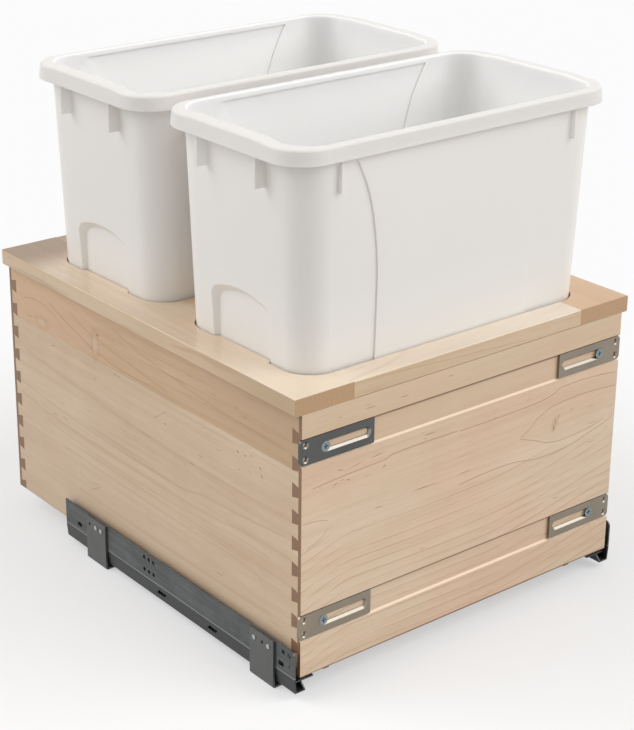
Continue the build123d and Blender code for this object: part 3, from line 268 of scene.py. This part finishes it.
class Board(Graph):
    """The material of one board, with values along its grain, across its face and through it."""

    def __init__(self, name, along, across, seed):
        super().__init__(name)
        self.along = along
        through = next(axis for axis in AXES if axis not in (along, across))
        parts = self.split(self.place)
        self.u, self.v, self.w = (parts[AXES[axis]] for axis in (along, across, through))
        self.plane = self.add("CombineXYZ", {0: self.u, 1: self.v})
        offset = (seed, seed * 1.7, seed * 0.6)
        self.moved = self.add("VectorMath", {0: self.place, 1: offset}, operation="ADD")
        normal = self.split(self.facing)
        self.facing_end = normal[AXES[along]]
        self.facing_across = normal[AXES[across]]
        self.facing_up = normal[2]

    def drawn_out(self, fine, coarse):
        """The place, scaled so that a pattern is drawn out along the grain."""
        sizes = tuple(coarse if axis == self.along else fine for axis in AXES)
        return self.stretch(sizes, self.moved)

    def grain(self, fine, coarse, detail=2.0, rough=0.5):
        """A noise drawn out along the grain."""
        return self.noise(self.drawn_out(fine, coarse), detail=detail, rough=rough)

    def spot(self, middle, size, angle=0.0, soft=0.2):
        """A value of 1 inside an oval on the board's face, fading to 0 at its rim."""
        inputs = {"Vector": self.plane, "Location": (*middle, 0), "Rotation": (0, 0, math.radians(angle)),
                  "Scale": (size[0] / 2, size[1] / 2, 1)}
        inside = self.add("Mapping", inputs, vector_type="TEXTURE")
        reach = self.add("VectorMath", {0: inside}, output="Value", operation="LENGTH")
        return self.step(reach, 1.0, soft)

    def traced(self, points, width):
        """A thin grain line through points of (along, across), fading out at both ends."""
        start, stop = points[0][0], points[-1][0]
        low = min(across for _, across in points) - LINE_ROOM
        high = max(across for _, across in points) + LINE_ROOM
        curve = self.tree.nodes.new("ShaderNodeFloatCurve")
        line = curve.mapping.curves[0]
        spots = [((u - start) / (stop - start), (v - low) / (high - low)) for u, v in points]
        line.points[0].location = spots[0]
        line.points[1].location = spots[-1]
        for spot in spots[1:-1]:
            line.points.new(*spot)
        curve.mapping.update()
        ends = {"Value": self.u, "From Min": start, "From Max": stop}
        self.put(curve.inputs["Value"], self.add("MapRange", ends))
        height = self.add("MapRange", {"Value": curve.outputs[0], "To Min": low, "To Max": high})
        near = self.band(self.v, height, width * 1.5, width * 0.4)
        return self.times(near, self.step(self.u, start, start + LINE_FADE),
                          self.step(self.u, stop, stop - LINE_FADE))


def heart(offset, depth, lean, spacing, wander=0.016):
    """Growth rings of a flat sawn board, counted outwards from a heart line behind its face.

    The line is offset across the board, and at a depth that leans along the grain."""
    def rings(board, wave):
        side = board.plus(board.minus(board.v, offset), board.times(wave, wander))
        deep = board.plus(board.minus(board.w, depth), board.times(board.u, lean))
        squares = board.plus(board.times(side, side), board.times(deep, deep))
        return board.math("DIVIDE", board.math("SQRT", squares), spacing)
    return rings


def front_rings(board, wave):
    """Growth rings of the front board, nearly level and climbing towards its right end."""
    spacing, wander, climb_height, dip_height = 0.0092, 0.013, 0.030, 0.016
    climb_start, climb_end = 0.02, 0.24
    dip_start, dip_end = -0.135, -0.215
    wobble = board.times(board.minus(wave, 0.5), wander)
    climb = board.times(board.step(board.u, climb_start, climb_end), climb_height)
    dip = board.times(board.step(board.u, dip_start, dip_end), dip_height)
    level = board.plus(board.minus(board.v, climb), board.plus(dip, wobble), board.times(board.w, 0.5))
    return board.math("DIVIDE", level, spacing)


def left_rings(board, wave):
    """Growth rings of the left side, which come down from its rear end and then run level."""
    spacing, wander, fall_start, steepness = 0.0105, 0.016, -0.02, 0.95
    rear = board.math("MAXIMUM", board.minus(board.u, fall_start), 0.0)
    fall = board.times(rear, rear, steepness)
    wobble = board.times(board.minus(wave, 0.5), wander)
    level = board.plus(board.minus(board.v, fall), wobble, board.times(board.w, 0.4))
    return board.math("DIVIDE", level, spacing)


def bent(board, wave, knots):
    """The wave of the rings, pushed aside round each knot."""
    reach, push = 2.4, 0.35
    for u, v, width, height, _ in knots:
        around = board.spot((u, v), (width * reach, height * reach), soft=0.0)
        wave = board.plus(wave, board.times(around, push))
    return wave


def ring_shades(board, count, lined):
    """The thin dark line of each ring and the soft rise before it, strongest where the board is lined."""
    part = board.math("FRACT", count)
    patchy = board.step(board.grain(70.0, 8.0), 0.38, 0.62)
    where = board.plus(board.times(patchy, 0.75), 0.25)
    if lined:
        low, high = lined
        outside, inside = 0.012, 0.004
        below = board.step(board.v, high + outside, high - inside)
        above = board.step(board.v, low - outside, low + inside)
        where = board.times(where, board.plus(board.times(below, above, 0.8), 0.2))
    line = board.times(board.step(part, 0.88, 0.95), board.step(part, 1.0, 0.965), where)
    rise = board.times(board.step(part, 0.35, 0.95), 0.22, where)
    return line, rise


def wood_shade(board, broad, streak, rise, ring_strength):
    """How dark the wood is, from its broad figure, its streaks and its rings."""
    figure = board.minus(board.grain(11.0, 30.0), 0.5)
    return board.plus(board.times(board.step(broad, 0.3, 0.75), 0.40),
                      board.times(board.step(streak, 0.3, 0.72), 0.42),
                      board.times(figure, 0.35), board.times(rise, ring_strength))


def glued_strip(board, colour, shade, rise, streak, height, light, dark):
    """A second strip glued on above a height, with a broken dark seam."""
    seam_outer, seam_inner = 0.0010, 0.0003
    upper = board.step(board.v, height - EDGE, height)
    strip_shade = board.plus(shade, board.times(rise, 0.5))
    colour = board.mix(upper, colour, board.mix(strip_shade, tone(light), tone(dark)))
    seam = board.band(board.v, height, seam_outer, seam_inner)
    seam = board.times(seam, board.step(streak, 0.35, 0.55))
    return board.tint(colour, MAPLE_LINE, seam, 0.30)


def faded(board, colour, fades):
    """Blend a board to other tones along the grain, above a height: (from, to, above, tone, strength)."""
    for start, stop, above, other, strength in fades:
        share = board.step(board.u, start, stop)
        if above is not None:
            share = board.times(share, board.step(board.v, above - EDGE, above))
        colour = board.tint(colour, other, share, strength)
    return colour


def specked(board, colour, dashes, flecks):
    """Short dark dashes along the grain, and scattered dark flecks."""
    thin = board.step(board.grain(900.0, 46.0, detail=0.0), 0.78, 0.83)
    region = board.step(board.noise(board.moved, scale=16.0, detail=1.0), 0.46, 0.60)
    colour = board.tint(colour, MAPLE_MARK_AND_SHADOW, board.times(thin, region), dashes)
    cells = board.add("TexVoronoi", {"Vector": board.drawn_out(330.0, 60.0)}, feature="F1").node.outputs
    chosen = board.step(board.add("SeparateColor", {0: cells["Color"]}), 0.95, 0.97)
    thin = board.step(cells["Distance"], 0.30, 0.12)
    region = board.step(board.noise(board.moved, scale=9.0, detail=1.0), 0.50, 0.62)
    return board.tint(colour, MAPLE_MARK_AND_SHADOW, board.times(chosen, thin, region), flecks)


def knotted(board, colour, pink, knots):
    """Knots with a soft rim, a pink middle and a dark eye: (along, across, width, height, eye)."""
    for u, v, width, height, eye in knots:
        rim = board.spot((u, v), (width * 1.5, height * 1.5), soft=0.5)
        middle = board.spot((u, v), (width, height))
        pupil = board.spot((u - width * 0.35, v + height * 0.4), (eye, eye * 0.8))
        colour = board.tint(colour, MAPLE_LINE, rim, 0.22)
        colour = board.tint(colour, pink, middle, 0.55)
        colour = board.tint(colour, MAPLE_MARK_AND_SHADOW, pupil, 0.75)
    return colour


def grooved(board, colour, grooves):
    """A thin shadow under the upper edge of each groove, and light on the slanted face below it."""
    shadow_start, shadow_full, shadow_top, shadow_end = -0.0032, -0.0014, 0.0002, 0.0006
    slant_drop, slant_outer, slant_inner = 0.0006, 0.0010, 0.0006
    for height, slant_top in grooves:
        shadow = board.times(board.step(board.v, height + shadow_start, height + shadow_full),
                             board.step(board.v, height + shadow_end, height + shadow_top))
        colour = board.tint(colour, MAPLE_MARK_AND_SHADOW, shadow, 0.85)
        slant = board.times(board.band(board.v, slant_top - slant_drop, slant_outer, slant_inner),
                            board.step(board.facing_across, 0.3, 0.6))
        colour = board.tint(colour, MAPLE_PAINTED_HIGHLIGHT, slant, 0.9)
    return colour


def end_grained(board, colour, count, end):
    """Pores and ring arcs on the sawn ends."""
    cut = board.step(board.math("ABSOLUTE", board.facing_end), 0.55, 0.85)
    pores = board.step(board.noise(board.moved, scale=900.0, rough=0.6), 0.35, 0.7)
    arcs = board.math("FRACT", board.times(count, 2.3))
    shade = board.plus(board.times(pores, 0.30), board.times(arcs, 0.2))
    return board.mix(cut, colour, board.mix(shade, tone(end), tone(darker(end, 0.84))))


def maple(name, along, across, rings, wood, seed=0.0, ring_strength=0.3, flecks=0.5, dashes=0.4,
          knots=(), marks_and_shadows=(), lines=(), lined=None, strip=None, grooves=(), fades=(), top=None,
          top_reflection_fades=(), corner=0.0007, coat=0.25, shine=0.42, polish=0.16):
    """A lacquered maple board.

    Rings is a function that gives the ring count. Wood is its four colours. A mark, a dark mark of the
    wood or a painted shadow, is (along, across, length, width, angle, strength). Lines are (points,
    strength, width) of single grain lines, and lined is the (low, high) where rings show best. A strip is
    (height, light, dark) of one glued on above that height. Grooves are (top, slant top) heights. Top is
    the (light, dark) of the face that looks up, if it has its own, which holds painted reflections.
    Corner is the radius that the edges look rounded by."""
    board = Board(name, along, across, seed)
    light, dark, pink, end = wood
    broad = board.grain(16.0, 3.4, detail=2.5)
    streak = board.grain(150.0, 5.0, detail=3.0, rough=0.6)
    fibre = board.grain(1400.0, 60.0)
    blush = board.grain(14.0, 7.0, detail=1.0)
    count = rings(board, bent(board, broad, knots))
    line, rise = ring_shades(board, count, lined)
    shade = wood_shade(board, broad, streak, rise, ring_strength)
    lighter = board.mix(board.step(blush, 0.42, 0.66), tone(light), tone(pink))
    colour = board.mix(shade, lighter, tone(dark))
    if strip:
        colour = glued_strip(board, colour, shade, rise, streak, *strip)
    colour = board.tint(colour, MAPLE_LINE, line, ring_strength * 1.5)
    colour = faded(board, colour, fades)
    # Painted reflection: the face that looks up has its own lighter or darker tone
    if top:
        above = board.mix(shade, tone(top[0]), tone(top[1]))
        above = board.tint(above, MAPLE_LINE, line, ring_strength * 0.8)
        above = faded(board, above, top_reflection_fades)
        colour = board.mix(board.step(board.facing_up, 0.4, 0.8), colour, above)
    for points, strength, width in lines:
        colour = board.tint(colour, MAPLE_LINE, board.traced(points, width), strength)
    colour = specked(board, colour, dashes, flecks)
    colour = board.tint(colour, MAPLE_LINE, board.step(fibre, 0.45, 0.75), 0.08)
    colour = knotted(board, colour, pink, knots)
    # Dark marks of the wood, and a painted shadow along the front board's foot
    for u, v, length, width, angle, strength in marks_and_shadows:
        colour = board.tint(colour, MAPLE_MARK_AND_SHADOW, board.spot((u, v), (length, width), angle), strength)
    colour = grooved(board, colour, grooves)
    colour = end_grained(board, colour, count, end)
    height = board.plus(board.times(fibre, 0.5), board.times(streak, 0.5))
    normal = board.bump(height, distance=0.00012, strength=0.35, edge=corner)
    rough = board.plus(shine, board.times(streak, 0.12))
    return board.surface(colour, rough, normal, Coat_Weight=coat, Coat_Roughness=polish,
                         Specular_IOR_Level=0.4)


# Plastic and metal

def bin_plastic(name, node):
    """Satin white plastic of a bin, with painted light on its inside and towards its foot."""
    g = Graph(name)
    low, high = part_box(node)
    middle = (0.0, (low.y + high.y) / 2, 0.0)
    flow = g.noise(g.stretch((9.0, 9.0, 3.0)))
    colour = g.tint(tone(BIN_WHITE), BIN_SHADE, flow, 0.3)
    # Painted light, whiter towards the bin's foot
    colour = g.tint(colour, BIN_FOOT_PAINTED_LIGHT, g.step(g.split(g.place)[2], *BIN_FOOT_LIGHT_FADE), 0.8)
    inwards = g.add("VectorMath", {0: middle, 1: g.place}, operation="SUBTRACT")
    inwards = g.stretch((1.0, 1.0, 0.0), inwards)
    inside = g.add("VectorMath", {0: inwards, 1: g.facing}, output="Value", operation="DOT_PRODUCT")
    # Painted light: the walls that face the bin's middle are whiter
    colour = g.mix(g.step(inside, *BIN_TURN), colour, tone(BIN_INSIDE_PAINTED_LIGHT))
    rough = g.plus(0.34, g.times(flow, 0.10))
    grain = g.noise(g.place, scale=1500.0, detail=1.0)
    normal = g.bump(grain, distance=0.00004, strength=0.25, edge=0.0006)
    return g.surface(colour, rough, normal, Specular_IOR_Level=0.4, Subsurface_Weight=0.5,
                     Subsurface_Radius=(0.007, 0.007, 0.0065), Subsurface_Scale=1.0)


def folded(g, colour):
    """Painted shade on the lower half of the fixed runner profile, and painted shade and highlight lines
    along its folds.
    """
    rise = g.split(g.place)[2]
    blur = 0.0004
    # Painted shade below the lower fold, then painted shade and highlight lines
    colour = g.tint(colour, ZINC_LOW_PAINTED_SHADE, g.step(rise, RUNNER_FOLD + blur, RUNNER_FOLD - blur), 0.75)
    for height, width, other, strength in FOLD_SHADE_AND_HIGHLIGHT_LINES:
        colour = g.tint(colour, other, g.band(rise, height, width, width * 0.4), strength)
    return colour


def zinc_sheet(name, folds=False):
    """Rolled zinc plated sheet with streaks along Y."""
    g = Graph(name)
    streak = g.noise(g.stretch((260.0, 14.0, 260.0)), detail=3.0, rough=0.6)
    cloud = g.noise(g.place, scale=46.0, detail=3.0, rough=0.6)
    share = g.plus(g.times(g.step(streak, 0.3, 0.75), 0.5), g.times(g.step(cloud, 0.35, 0.7), 0.4))
    colour = g.mix(share, tone(ZINC), tone(ZINC_LIGHT))
    if folds:
        colour = folded(g, colour)
    rough = g.plus(0.30, g.times(cloud, 0.16))
    normal = g.bump(streak, distance=0.00006, strength=0.3, edge=0.00035)
    return g.surface(colour, rough, normal, Metallic=0.75, Specular_IOR_Level=0.5)


def brushed_plate(name, base, lit_bevel):
    """Reflective steel of the door brackets, brushed along X, with painted light on the slanted bevels
    that look up.
    """
    g = Graph(name)
    brush = g.noise(g.stretch((30.0, 30.0, 900.0)))
    cloud = g.noise(g.place, scale=30.0)
    colour = g.mix(cloud, tone(base), tone(darker(base, 0.86)))
    facing = g.split(g.facing)
    front = g.math("ABSOLUTE", facing[1])
    slant = g.times(g.step(front, 0.3, 0.5), g.step(front, 0.97, 0.85))
    under = g.step(facing[2], -0.1, -0.5)
    # Painted light on the slanted bevels that look up; those that look down keep the plate's colour
    colour = g.mix(slant, colour, g.mix(under, tone(lit_bevel), tone(base)))
    rough = g.plus(0.26, g.times(brush, 0.14))
    normal = g.bump(brush, distance=0.00004, strength=0.3, edge=0.0002)
    return g.surface(colour, rough, normal, Metallic=0.85)


def painted_steel(name):
    """Plain grey paint on the brackets that stand on the floor."""
    g = Graph(name)
    cloud = g.noise(g.place, scale=60.0)
    colour = g.mix(cloud, tone(RISER_GREY), tone(RISER_SHADE))
    rough = g.plus(0.36, g.times(cloud, 0.12))
    normal = g.bump(g.noise(g.place, scale=1200.0), distance=0.00005, strength=0.3, edge=0.0004)
    return g.surface(colour, rough, normal, Metallic=0.35)


def small_metal(name, colour, roughness):
    """Bright metal of screws, rivets and balls."""
    g = Graph(name)
    cloud = g.noise(g.place, scale=420.0)
    shade = g.mix(cloud, tone(colour), tone(darker(colour, 0.86)))
    rough = g.plus(roughness, g.times(cloud, 0.08))
    normal = g.bump(cloud, distance=0.00003, strength=0.3, edge=0.0002)
    return g.surface(shade, rough, normal, Metallic=1.0)


def moulded(name, colour, roughness):
    """Moulded plastic of the cages, locks and levers."""
    g = Graph(name)
    cloud = g.noise(g.place, scale=160.0, detail=3.0)
    shade = g.mix(cloud, tone(colour), tone(darker(colour, 0.82)))
    rough = g.plus(roughness, g.times(cloud, 0.1))
    normal = g.bump(g.noise(g.place, scale=1800.0), distance=0.00006, strength=0.35, edge=0.0003)
    return g.surface(shade, rough, normal)


def dress(material, *names):
    """Give nodes a material."""
    for name in names:
        node = frame["nodes"][name]
        if not node.material_slots:
            node.data.materials.append(None)
        for place in node.material_slots:
            place.link = "OBJECT"
            place.material = material


def pair(*names):
    """The left and right nodes of each name."""
    return [f"{name}_{side}" for name in names for side in ("left", "right")]


# Knots, marks and grain lines, with places and sizes in metres and angles in degrees

LEFT_KNOTS = ((0.080, 0.236, 0.014, 0.030, 0.005), (0.180, 0.229, 0.024, 0.012, 0.002))
LEFT_MARKS = (
    (-0.063, 0.247, 0.040, 0.0010, 2, 0.6), (0.045, 0.217, 0.006, 0.0016, 10, 0.7),
    (0.039, 0.217, 0.004, 0.0014, -20, 0.6), (0.083, 0.200, 0.005, 0.0016, 20, 0.7),
    (0.159, 0.210, 0.006, 0.0016, -8, 0.8), (-0.151, 0.209, 0.006, 0.0018, 12, 0.7),
    (-0.162, 0.209, 0.006, 0.0014, 14, 0.7), (-0.171, 0.212, 0.006, 0.0014, 18, 0.6),
    (-0.099, 0.213, 0.005, 0.0012, -30, 0.4), (-0.094, 0.183, 0.006, 0.0016, 20, 0.7),
    (-0.038, 0.195, 0.004, 0.0018, 8, 0.8), (-0.081, 0.170, 0.007, 0.0018, 14, 0.6),
    (-0.153, 0.192, 0.004, 0.0014, 14, 0.6), (-0.169, 0.196, 0.005, 0.0014, 14, 0.5),
    (-0.184, 0.205, 0.006, 0.0018, 24, 0.7), (-0.186, 0.198, 0.006, 0.0020, 40, 0.8),
    (-0.150, 0.251, 0.005, 0.0018, 6, 0.6), (-0.162, 0.246, 0.010, 0.0012, 6, 0.5),
    (-0.116, 0.252, 0.010, 0.0012, 6, 0.4), (-0.171, 0.266, 0.030, 0.0010, 3, 0.4),
    (0.088, 0.078, 0.045, 0.0018, -28, 0.25), (0.024, 0.141, 0.240, 0.0110, 2, 0.10),
)
LEFT_LINES = (
    (((-0.017, 0.225), (0.052, 0.226), (0.119, 0.240), (0.165, 0.256)), 0.55, 0.0006),
    (((-0.045, 0.228), (0.017, 0.236), (0.089, 0.246), (0.126, 0.258)), 0.45, 0.0006),
    (((-0.220, 0.236), (-0.120, 0.240), (-0.020, 0.250), (0.050, 0.264)), 0.40, 0.0006),
    (((0.138, 0.235), (0.160, 0.246), (0.185, 0.250), (0.215, 0.246)), 0.35, 0.0006),
    (((-0.041, 0.209), (-0.031, 0.202), (-0.017, 0.193)), 0.45, 0.0006),
    (((-0.220, 0.153), (-0.147, 0.147), (-0.095, 0.144), (-0.054, 0.138), (0.230, 0.150)), 0.22, 0.0012),
    (((-0.230, 0.134), (-0.165, 0.133), (-0.109, 0.128), (0.012, 0.126), (0.230, 0.138)), 0.16, 0.0016),
    (((-0.200, 0.121), (-0.160, 0.123), (-0.109, 0.120), (0.012, 0.116), (0.180, 0.124)), 0.16, 0.0009),
    (((-0.230, 0.106), (-0.154, 0.110), (-0.102, 0.110), (0.120, 0.112)), 0.15, 0.0010),
    (((-0.188, 0.088), (-0.166, 0.100), (-0.040, 0.100), (0.150, 0.104)), 0.16, 0.0016),
    (((-0.220, 0.173), (-0.100, 0.170), (0.060, 0.176), (0.220, 0.190)), 0.14, 0.0016),
    (((-0.200, 0.066), (-0.040, 0.064), (0.120, 0.066)), 0.14, 0.0020),
)
FRONT_MARKS_AND_SHADOW = (
    (0.112, 0.183, 0.012, 0.022, -14, 0.20), (0.1108, 0.1785, 0.0026, 0.0090, -8, 0.65),
    (0.1130, 0.1850, 0.0018, 0.0080, -12, 0.45), (0.1170, 0.1890, 0.0020, 0.0090, -35, 0.50),
    # Painted shadow: a dark line along the foot of the front board
    (0.0, 0.0220, 0.80, 0.0042, 0, 1.0),
    (-0.159, 0.201, 0.009, 0.0012, 24, 0.75), (-0.151, 0.203, 0.008, 0.0010, 0, 0.6),
    (-0.144, 0.201, 0.006, 0.0014, -24, 0.75), (-0.103, 0.202, 0.006, 0.0016, 32, 0.8),
    (-0.153, 0.213, 0.010, 0.0014, -10, 0.6), (-0.134, 0.213, 0.026, 0.0010, 6, 0.6),
    (-0.112, 0.215, 0.022, 0.0011, 7, 0.7), (-0.050, 0.218, 0.020, 0.0012, 0, 0.65),
    (-0.055, 0.1665, 0.040, 0.0012, -1, 0.7), (-0.108, 0.1635, 0.016, 0.0012, -2, 0.6),
    (-0.004, 0.1665, 0.020, 0.0012, 2, 0.6), (0.134, 0.192, 0.008, 0.0010, 8, 0.6),
    (-0.120, 0.263, 0.018, 0.0012, 0, 0.6), (-0.081, 0.263, 0.014, 0.0012, 0, 0.65),
    (-0.154, 0.263, 0.006, 0.0012, 0, 0.5), (-0.026, 0.268, 0.007, 0.0014, 0, 0.6),
)
FRONT_LINES = (
    (((-0.186, 0.204), (-0.135, 0.207), (-0.104, 0.208), (-0.088, 0.211), (-0.014, 0.211)), 0.65, 0.0005),
    (((-0.014, 0.210), (0.082, 0.211), (0.110, 0.215), (0.123, 0.219), (0.195, 0.215)), 0.60, 0.0005),
    (((0.065, 0.180), (0.079, 0.187), (0.089, 0.195), (0.118, 0.203), (0.196, 0.201)), 0.60, 0.0005),
    (((0.065, 0.180), (0.087, 0.172), (0.106, 0.165), (0.124, 0.163), (0.183, 0.170)), 0.55, 0.0005),
    (((-0.196, 0.173), (-0.180, 0.172), (-0.165, 0.168)), 0.50, 0.0005),
    (((-0.191, 0.149), (-0.178, 0.152), (-0.168, 0.159), (-0.165, 0.166)), 0.50, 0.0005),
    (((-0.013, 0.155), (0.047, 0.158), (0.103, 0.152), (0.161, 0.160), (0.196, 0.171)), 0.60, 0.0005),
)

# How every wooden node looks

frame_look = {"wood": FRAME_WOOD, "ring_strength": 0.25, "flecks": 0.3, "dashes": 0.35, "coat": 0.6,
              "shine": 0.34, "polish": 0.10}
boards = {
    "side_board_left": dict(
        name="maple_side_left", along="y", across="z", rings=left_rings, wood=SIDE_WOOD,
        knots=LEFT_KNOTS, marks_and_shadows=LEFT_MARKS, lines=LEFT_LINES, lined=(0.222, 0.30), flecks=0.6, dashes=0.3,
        strip=(LEFT_SEAM, MAPLE_TAN, MAPLE_TAN_DARK),
        fades=((-0.02, -0.22, LEFT_SEAM, MAPLE_TAN_DEEP, 0.55),
               (0.0, 0.2, LEFT_SEAM, MAPLE_TAN_RED, 0.6))),
    "side_board_right": dict(
        name="maple_side_right", along="y", across="z", wood=SIDE_WOOD, seed=3.1,
        rings=heart(offset=0.16, depth=0.38, lean=0.06, spacing=0.013), ring_strength=0.25, flecks=0.4,
        strip=(RIGHT_SEAM, MAPLE_TAN, MAPLE_TAN_DARK)),
    "front_board": dict(
        name="maple_front", along="x", across="z", rings=front_rings, wood=BOARD_WOOD,
        marks_and_shadows=FRONT_MARKS_AND_SHADOW, lines=FRONT_LINES, lined=(0.0, 0.150), ring_strength=0.42, flecks=0.25,
        dashes=0.5, grooves=GROOVES, fades=((-0.5, -0.4, GROOVES[0][1], MAPLE_SHADE, 0.5),),
        corner=0.0003),
    "back_board": dict(
        name="maple_back", along="x", across="z", wood=BOARD_WOOD, seed=5.3,
        rings=heart(offset=0.13, depth=0.12, lean=0.05, spacing=0.011), ring_strength=0.35),
    "hook_cleat": dict(
        name="maple_cleat", along="x", across="y", wood=BOARD_WOOD, seed=2.2,
        rings=heart(offset=0.15, depth=-0.05, lean=0.03, spacing=0.006)),
    "bottom_panel": dict(
        name="panel_maple", along="y", across="x", wood=PANEL_WOOD, seed=9.4,
        rings=heart(offset=0.0, depth=-0.5, lean=0.1, spacing=0.016)),
    "frame_stile_left": dict(
        name="maple_stile_left", along="y", across="x", seed=7.7, top=LEFT_STILE_TOP_REFLECTION, **frame_look,
        rings=heart(offset=0.17, depth=0.22, lean=0.04, spacing=0.010),
        fades=((-0.10, -0.22, None, FRAME_SIDE_DEEP, 0.8),),
        # Painted reflection at the front end of the top, painted shade at its rear corner
        top_reflection_fades=((-0.08, -0.20, None, TOP_PAINTED_REFLECTION, 0.8), (0.15, 0.21, None, TOP_CORNER_PAINTED_SHADE, 0.9))),
    "frame_stile_right": dict(
        name="maple_stile_right", along="y", across="x", seed=8.7, top=RIGHT_STILE_TOP_REFLECTION, **frame_look,
        rings=heart(offset=-0.17, depth=0.22, lean=0.04, spacing=0.010)),
    "frame_rail_front": dict(
        name="maple_rail_front", along="x", across="y", seed=11.9, top=FRONT_RAIL_TOP_REFLECTION, **frame_look,
        rings=heart(offset=-0.2, depth=0.2, lean=0.05, spacing=0.010),
        # Painted highlight along the middle of the front rail's top
        top_reflection_fades=((-0.05, 0.12, None, TOP_PAINTED_HIGHLIGHT, 0.7),), corner=0.0003),
    "frame_rail_middle": dict(
        name="maple_rail_middle", along="x", across="y", seed=13.9, top=MIDDLE_RAIL_TOP_REFLECTION, **frame_look,
        rings=heart(offset=0.0, depth=0.2, lean=0.05, spacing=0.010)),
    "frame_rail_rear": dict(
        name="maple_rail_rear", along="x", across="y", seed=15.9, top=REAR_RAIL_TOP_REFLECTION, **frame_look,
        rings=heart(offset=0.2, depth=0.2, lean=0.05, spacing=0.010)),
}
for board_node, look in boards.items():
    dress(maple(**look), board_node)

for bin_name in ("front_bin", "rear_bin"):
    dress(bin_plastic(f"{bin_name}_white", bin_name), bin_name)
dress(zinc_sheet("runner_zinc", folds=True), *pair("cabinet_profile"))
dress(zinc_sheet("inner_zinc"), *pair("middle_profile", "drawer_profile"))
dress(painted_steel("riser_grey"), *pair("riser_bracket_front", "riser_bracket_rear"))
dress(brushed_plate("bracket_steel", BRACKET_GREY, BRACKET_LIT_BEVEL),
      "door_bracket_upper_right", *pair("door_bracket_lower"))
# Painted dark reflection: the upper left bracket is the same steel as the others, only darker
dress(brushed_plate("bracket_steel_dark_reflection", BRACKET_DARK_REFLECTION, BRACKET_DARK_LIT_BEVEL), "door_bracket_upper_left")
dress(small_metal("screw_zinc", SCREW_GREY, roughness=0.26),
      "door_bracket_screws", *pair("lock_screws"))
dress(small_metal("rivet_steel", RIVET_GREY, roughness=0.30), *pair("riser_rivets"))
dress(small_metal("ball_steel", BALL_GREY, roughness=0.08), *pair("lower_balls", "upper_balls"))
dress(moulded("cage_black", CAGE_BLACK, roughness=0.42), *pair("lower_cage", "upper_cage"))
dress(moulded("lock_grey", LOCK_GREY, roughness=0.45), *pair("lock_housing"))
dress(moulded("lever_orange", LEVER_ORANGE, roughness=0.4), *pair("lock_lever"))


# Floor, light and camera

def clear_ray(tree):
    """A value of 1 for what the camera, a reflection or a see-through material sees."""
    path = tree.nodes.new("ShaderNodeLightPath")
    total = path.outputs["Is Camera Ray"]
    for name in ("Is Glossy Ray", "Is Transmission Ray"):
        both = tree.nodes.new("ShaderNodeMath")
        both.operation = "ADD"
        both.use_clamp = True
        tree.links.new(total, both.inputs[0])
        tree.links.new(path.outputs[name], both.inputs[1])
        total = both.outputs[0]
    return total


def floor():
    """A large plain pale floor, which keeps the shadow of the object."""
    bpy.ops.mesh.primitive_plane_add(size=FLOOR_SIZE)
    plane = bpy.context.object
    plane.name = "floor"
    g = Graph("floor_white")
    seen = clear_ray(g.tree)
    colour = g.mix(seen, tone(FLOOR_BOUNCE), tone(FLOOR_WHITE))
    plane.data.materials.append(g.surface(colour, 0.8, Specular_IOR_Level=0.0))
    shader = next(node for node in g.tree.nodes if node.type == "BSDF_PRINCIPLED")
    end = next(node for node in g.tree.nodes if node.type == "OUTPUT_MATERIAL")
    glow = g.add("Emission", {"Color": tone(FLOOR_WHITE), "Strength": 1.0})
    both = g.add("MixShader", {0: g.times(seen, FLOOR_GLOW), 1: shader.outputs[0], 2: glow})
    g.put(end.inputs[0], both)


def world():
    """White all round for the camera and for reflections, and softer as light."""
    sky = bpy.data.worlds.new("studio")
    bpy.context.scene.world = sky
    sky.use_nodes = True
    tree = sky.node_tree
    tree.nodes.clear()
    strength = tree.nodes.new("ShaderNodeMapRange")
    tree.links.new(clear_ray(tree), strength.inputs["Value"])
    strength.inputs["To Min"].default_value = SKY_LIGHT
    strength.inputs["To Max"].default_value = 1.0
    shade = tree.nodes.new("ShaderNodeBackground")
    shade.inputs["Color"].default_value = tone(FLOOR_WHITE)
    tree.links.new(strength.outputs[0], shade.inputs["Strength"])
    end = tree.nodes.new("ShaderNodeOutputWorld")
    tree.links.new(shade.outputs[0], end.inputs[0])


def sun(name, towards, strength):
    """A soft sun that shines along a direction."""
    data = bpy.data.lights.new(name, "SUN")
    data.energy = strength
    data.angle = math.radians(SUN_SPREAD)
    lamp = bpy.data.objects.new(name, data)
    lamp.rotation_euler = Vector(towards).to_track_quat("-Z", "Y").to_euler()
    bpy.context.scene.collection.objects.link(lamp)


def camera():
    """The camera at the photograph's viewing angle."""
    data = bpy.data.cameras.new("photo_camera")
    data.lens = CAMERA_FOCUS / PHOTO_HEIGHT * data.sensor_width
    data.shift_x = (PHOTO_WIDTH / 2 - FRAME_MIDDLE[0]) / PHOTO_HEIGHT
    data.shift_y = (FRAME_MIDDLE[1] - PHOTO_HEIGHT / 2) / PHOTO_HEIGHT
    data.clip_end = 100
    view = bpy.data.objects.new("photo_camera", data)
    view.location = CAMERA_PLACE
    view.rotation_euler = Euler((math.radians(90 - CAMERA_TILT), 0, -math.radians(CAMERA_TURN)))
    bpy.context.scene.collection.objects.link(view)
    bpy.context.scene.camera = view


floor()
world()
for name, (towards, strength) in SUNS.items():
    sun(name, towards, strength)
camera()
bpy.context.scene.view_settings.view_transform = "Standard"
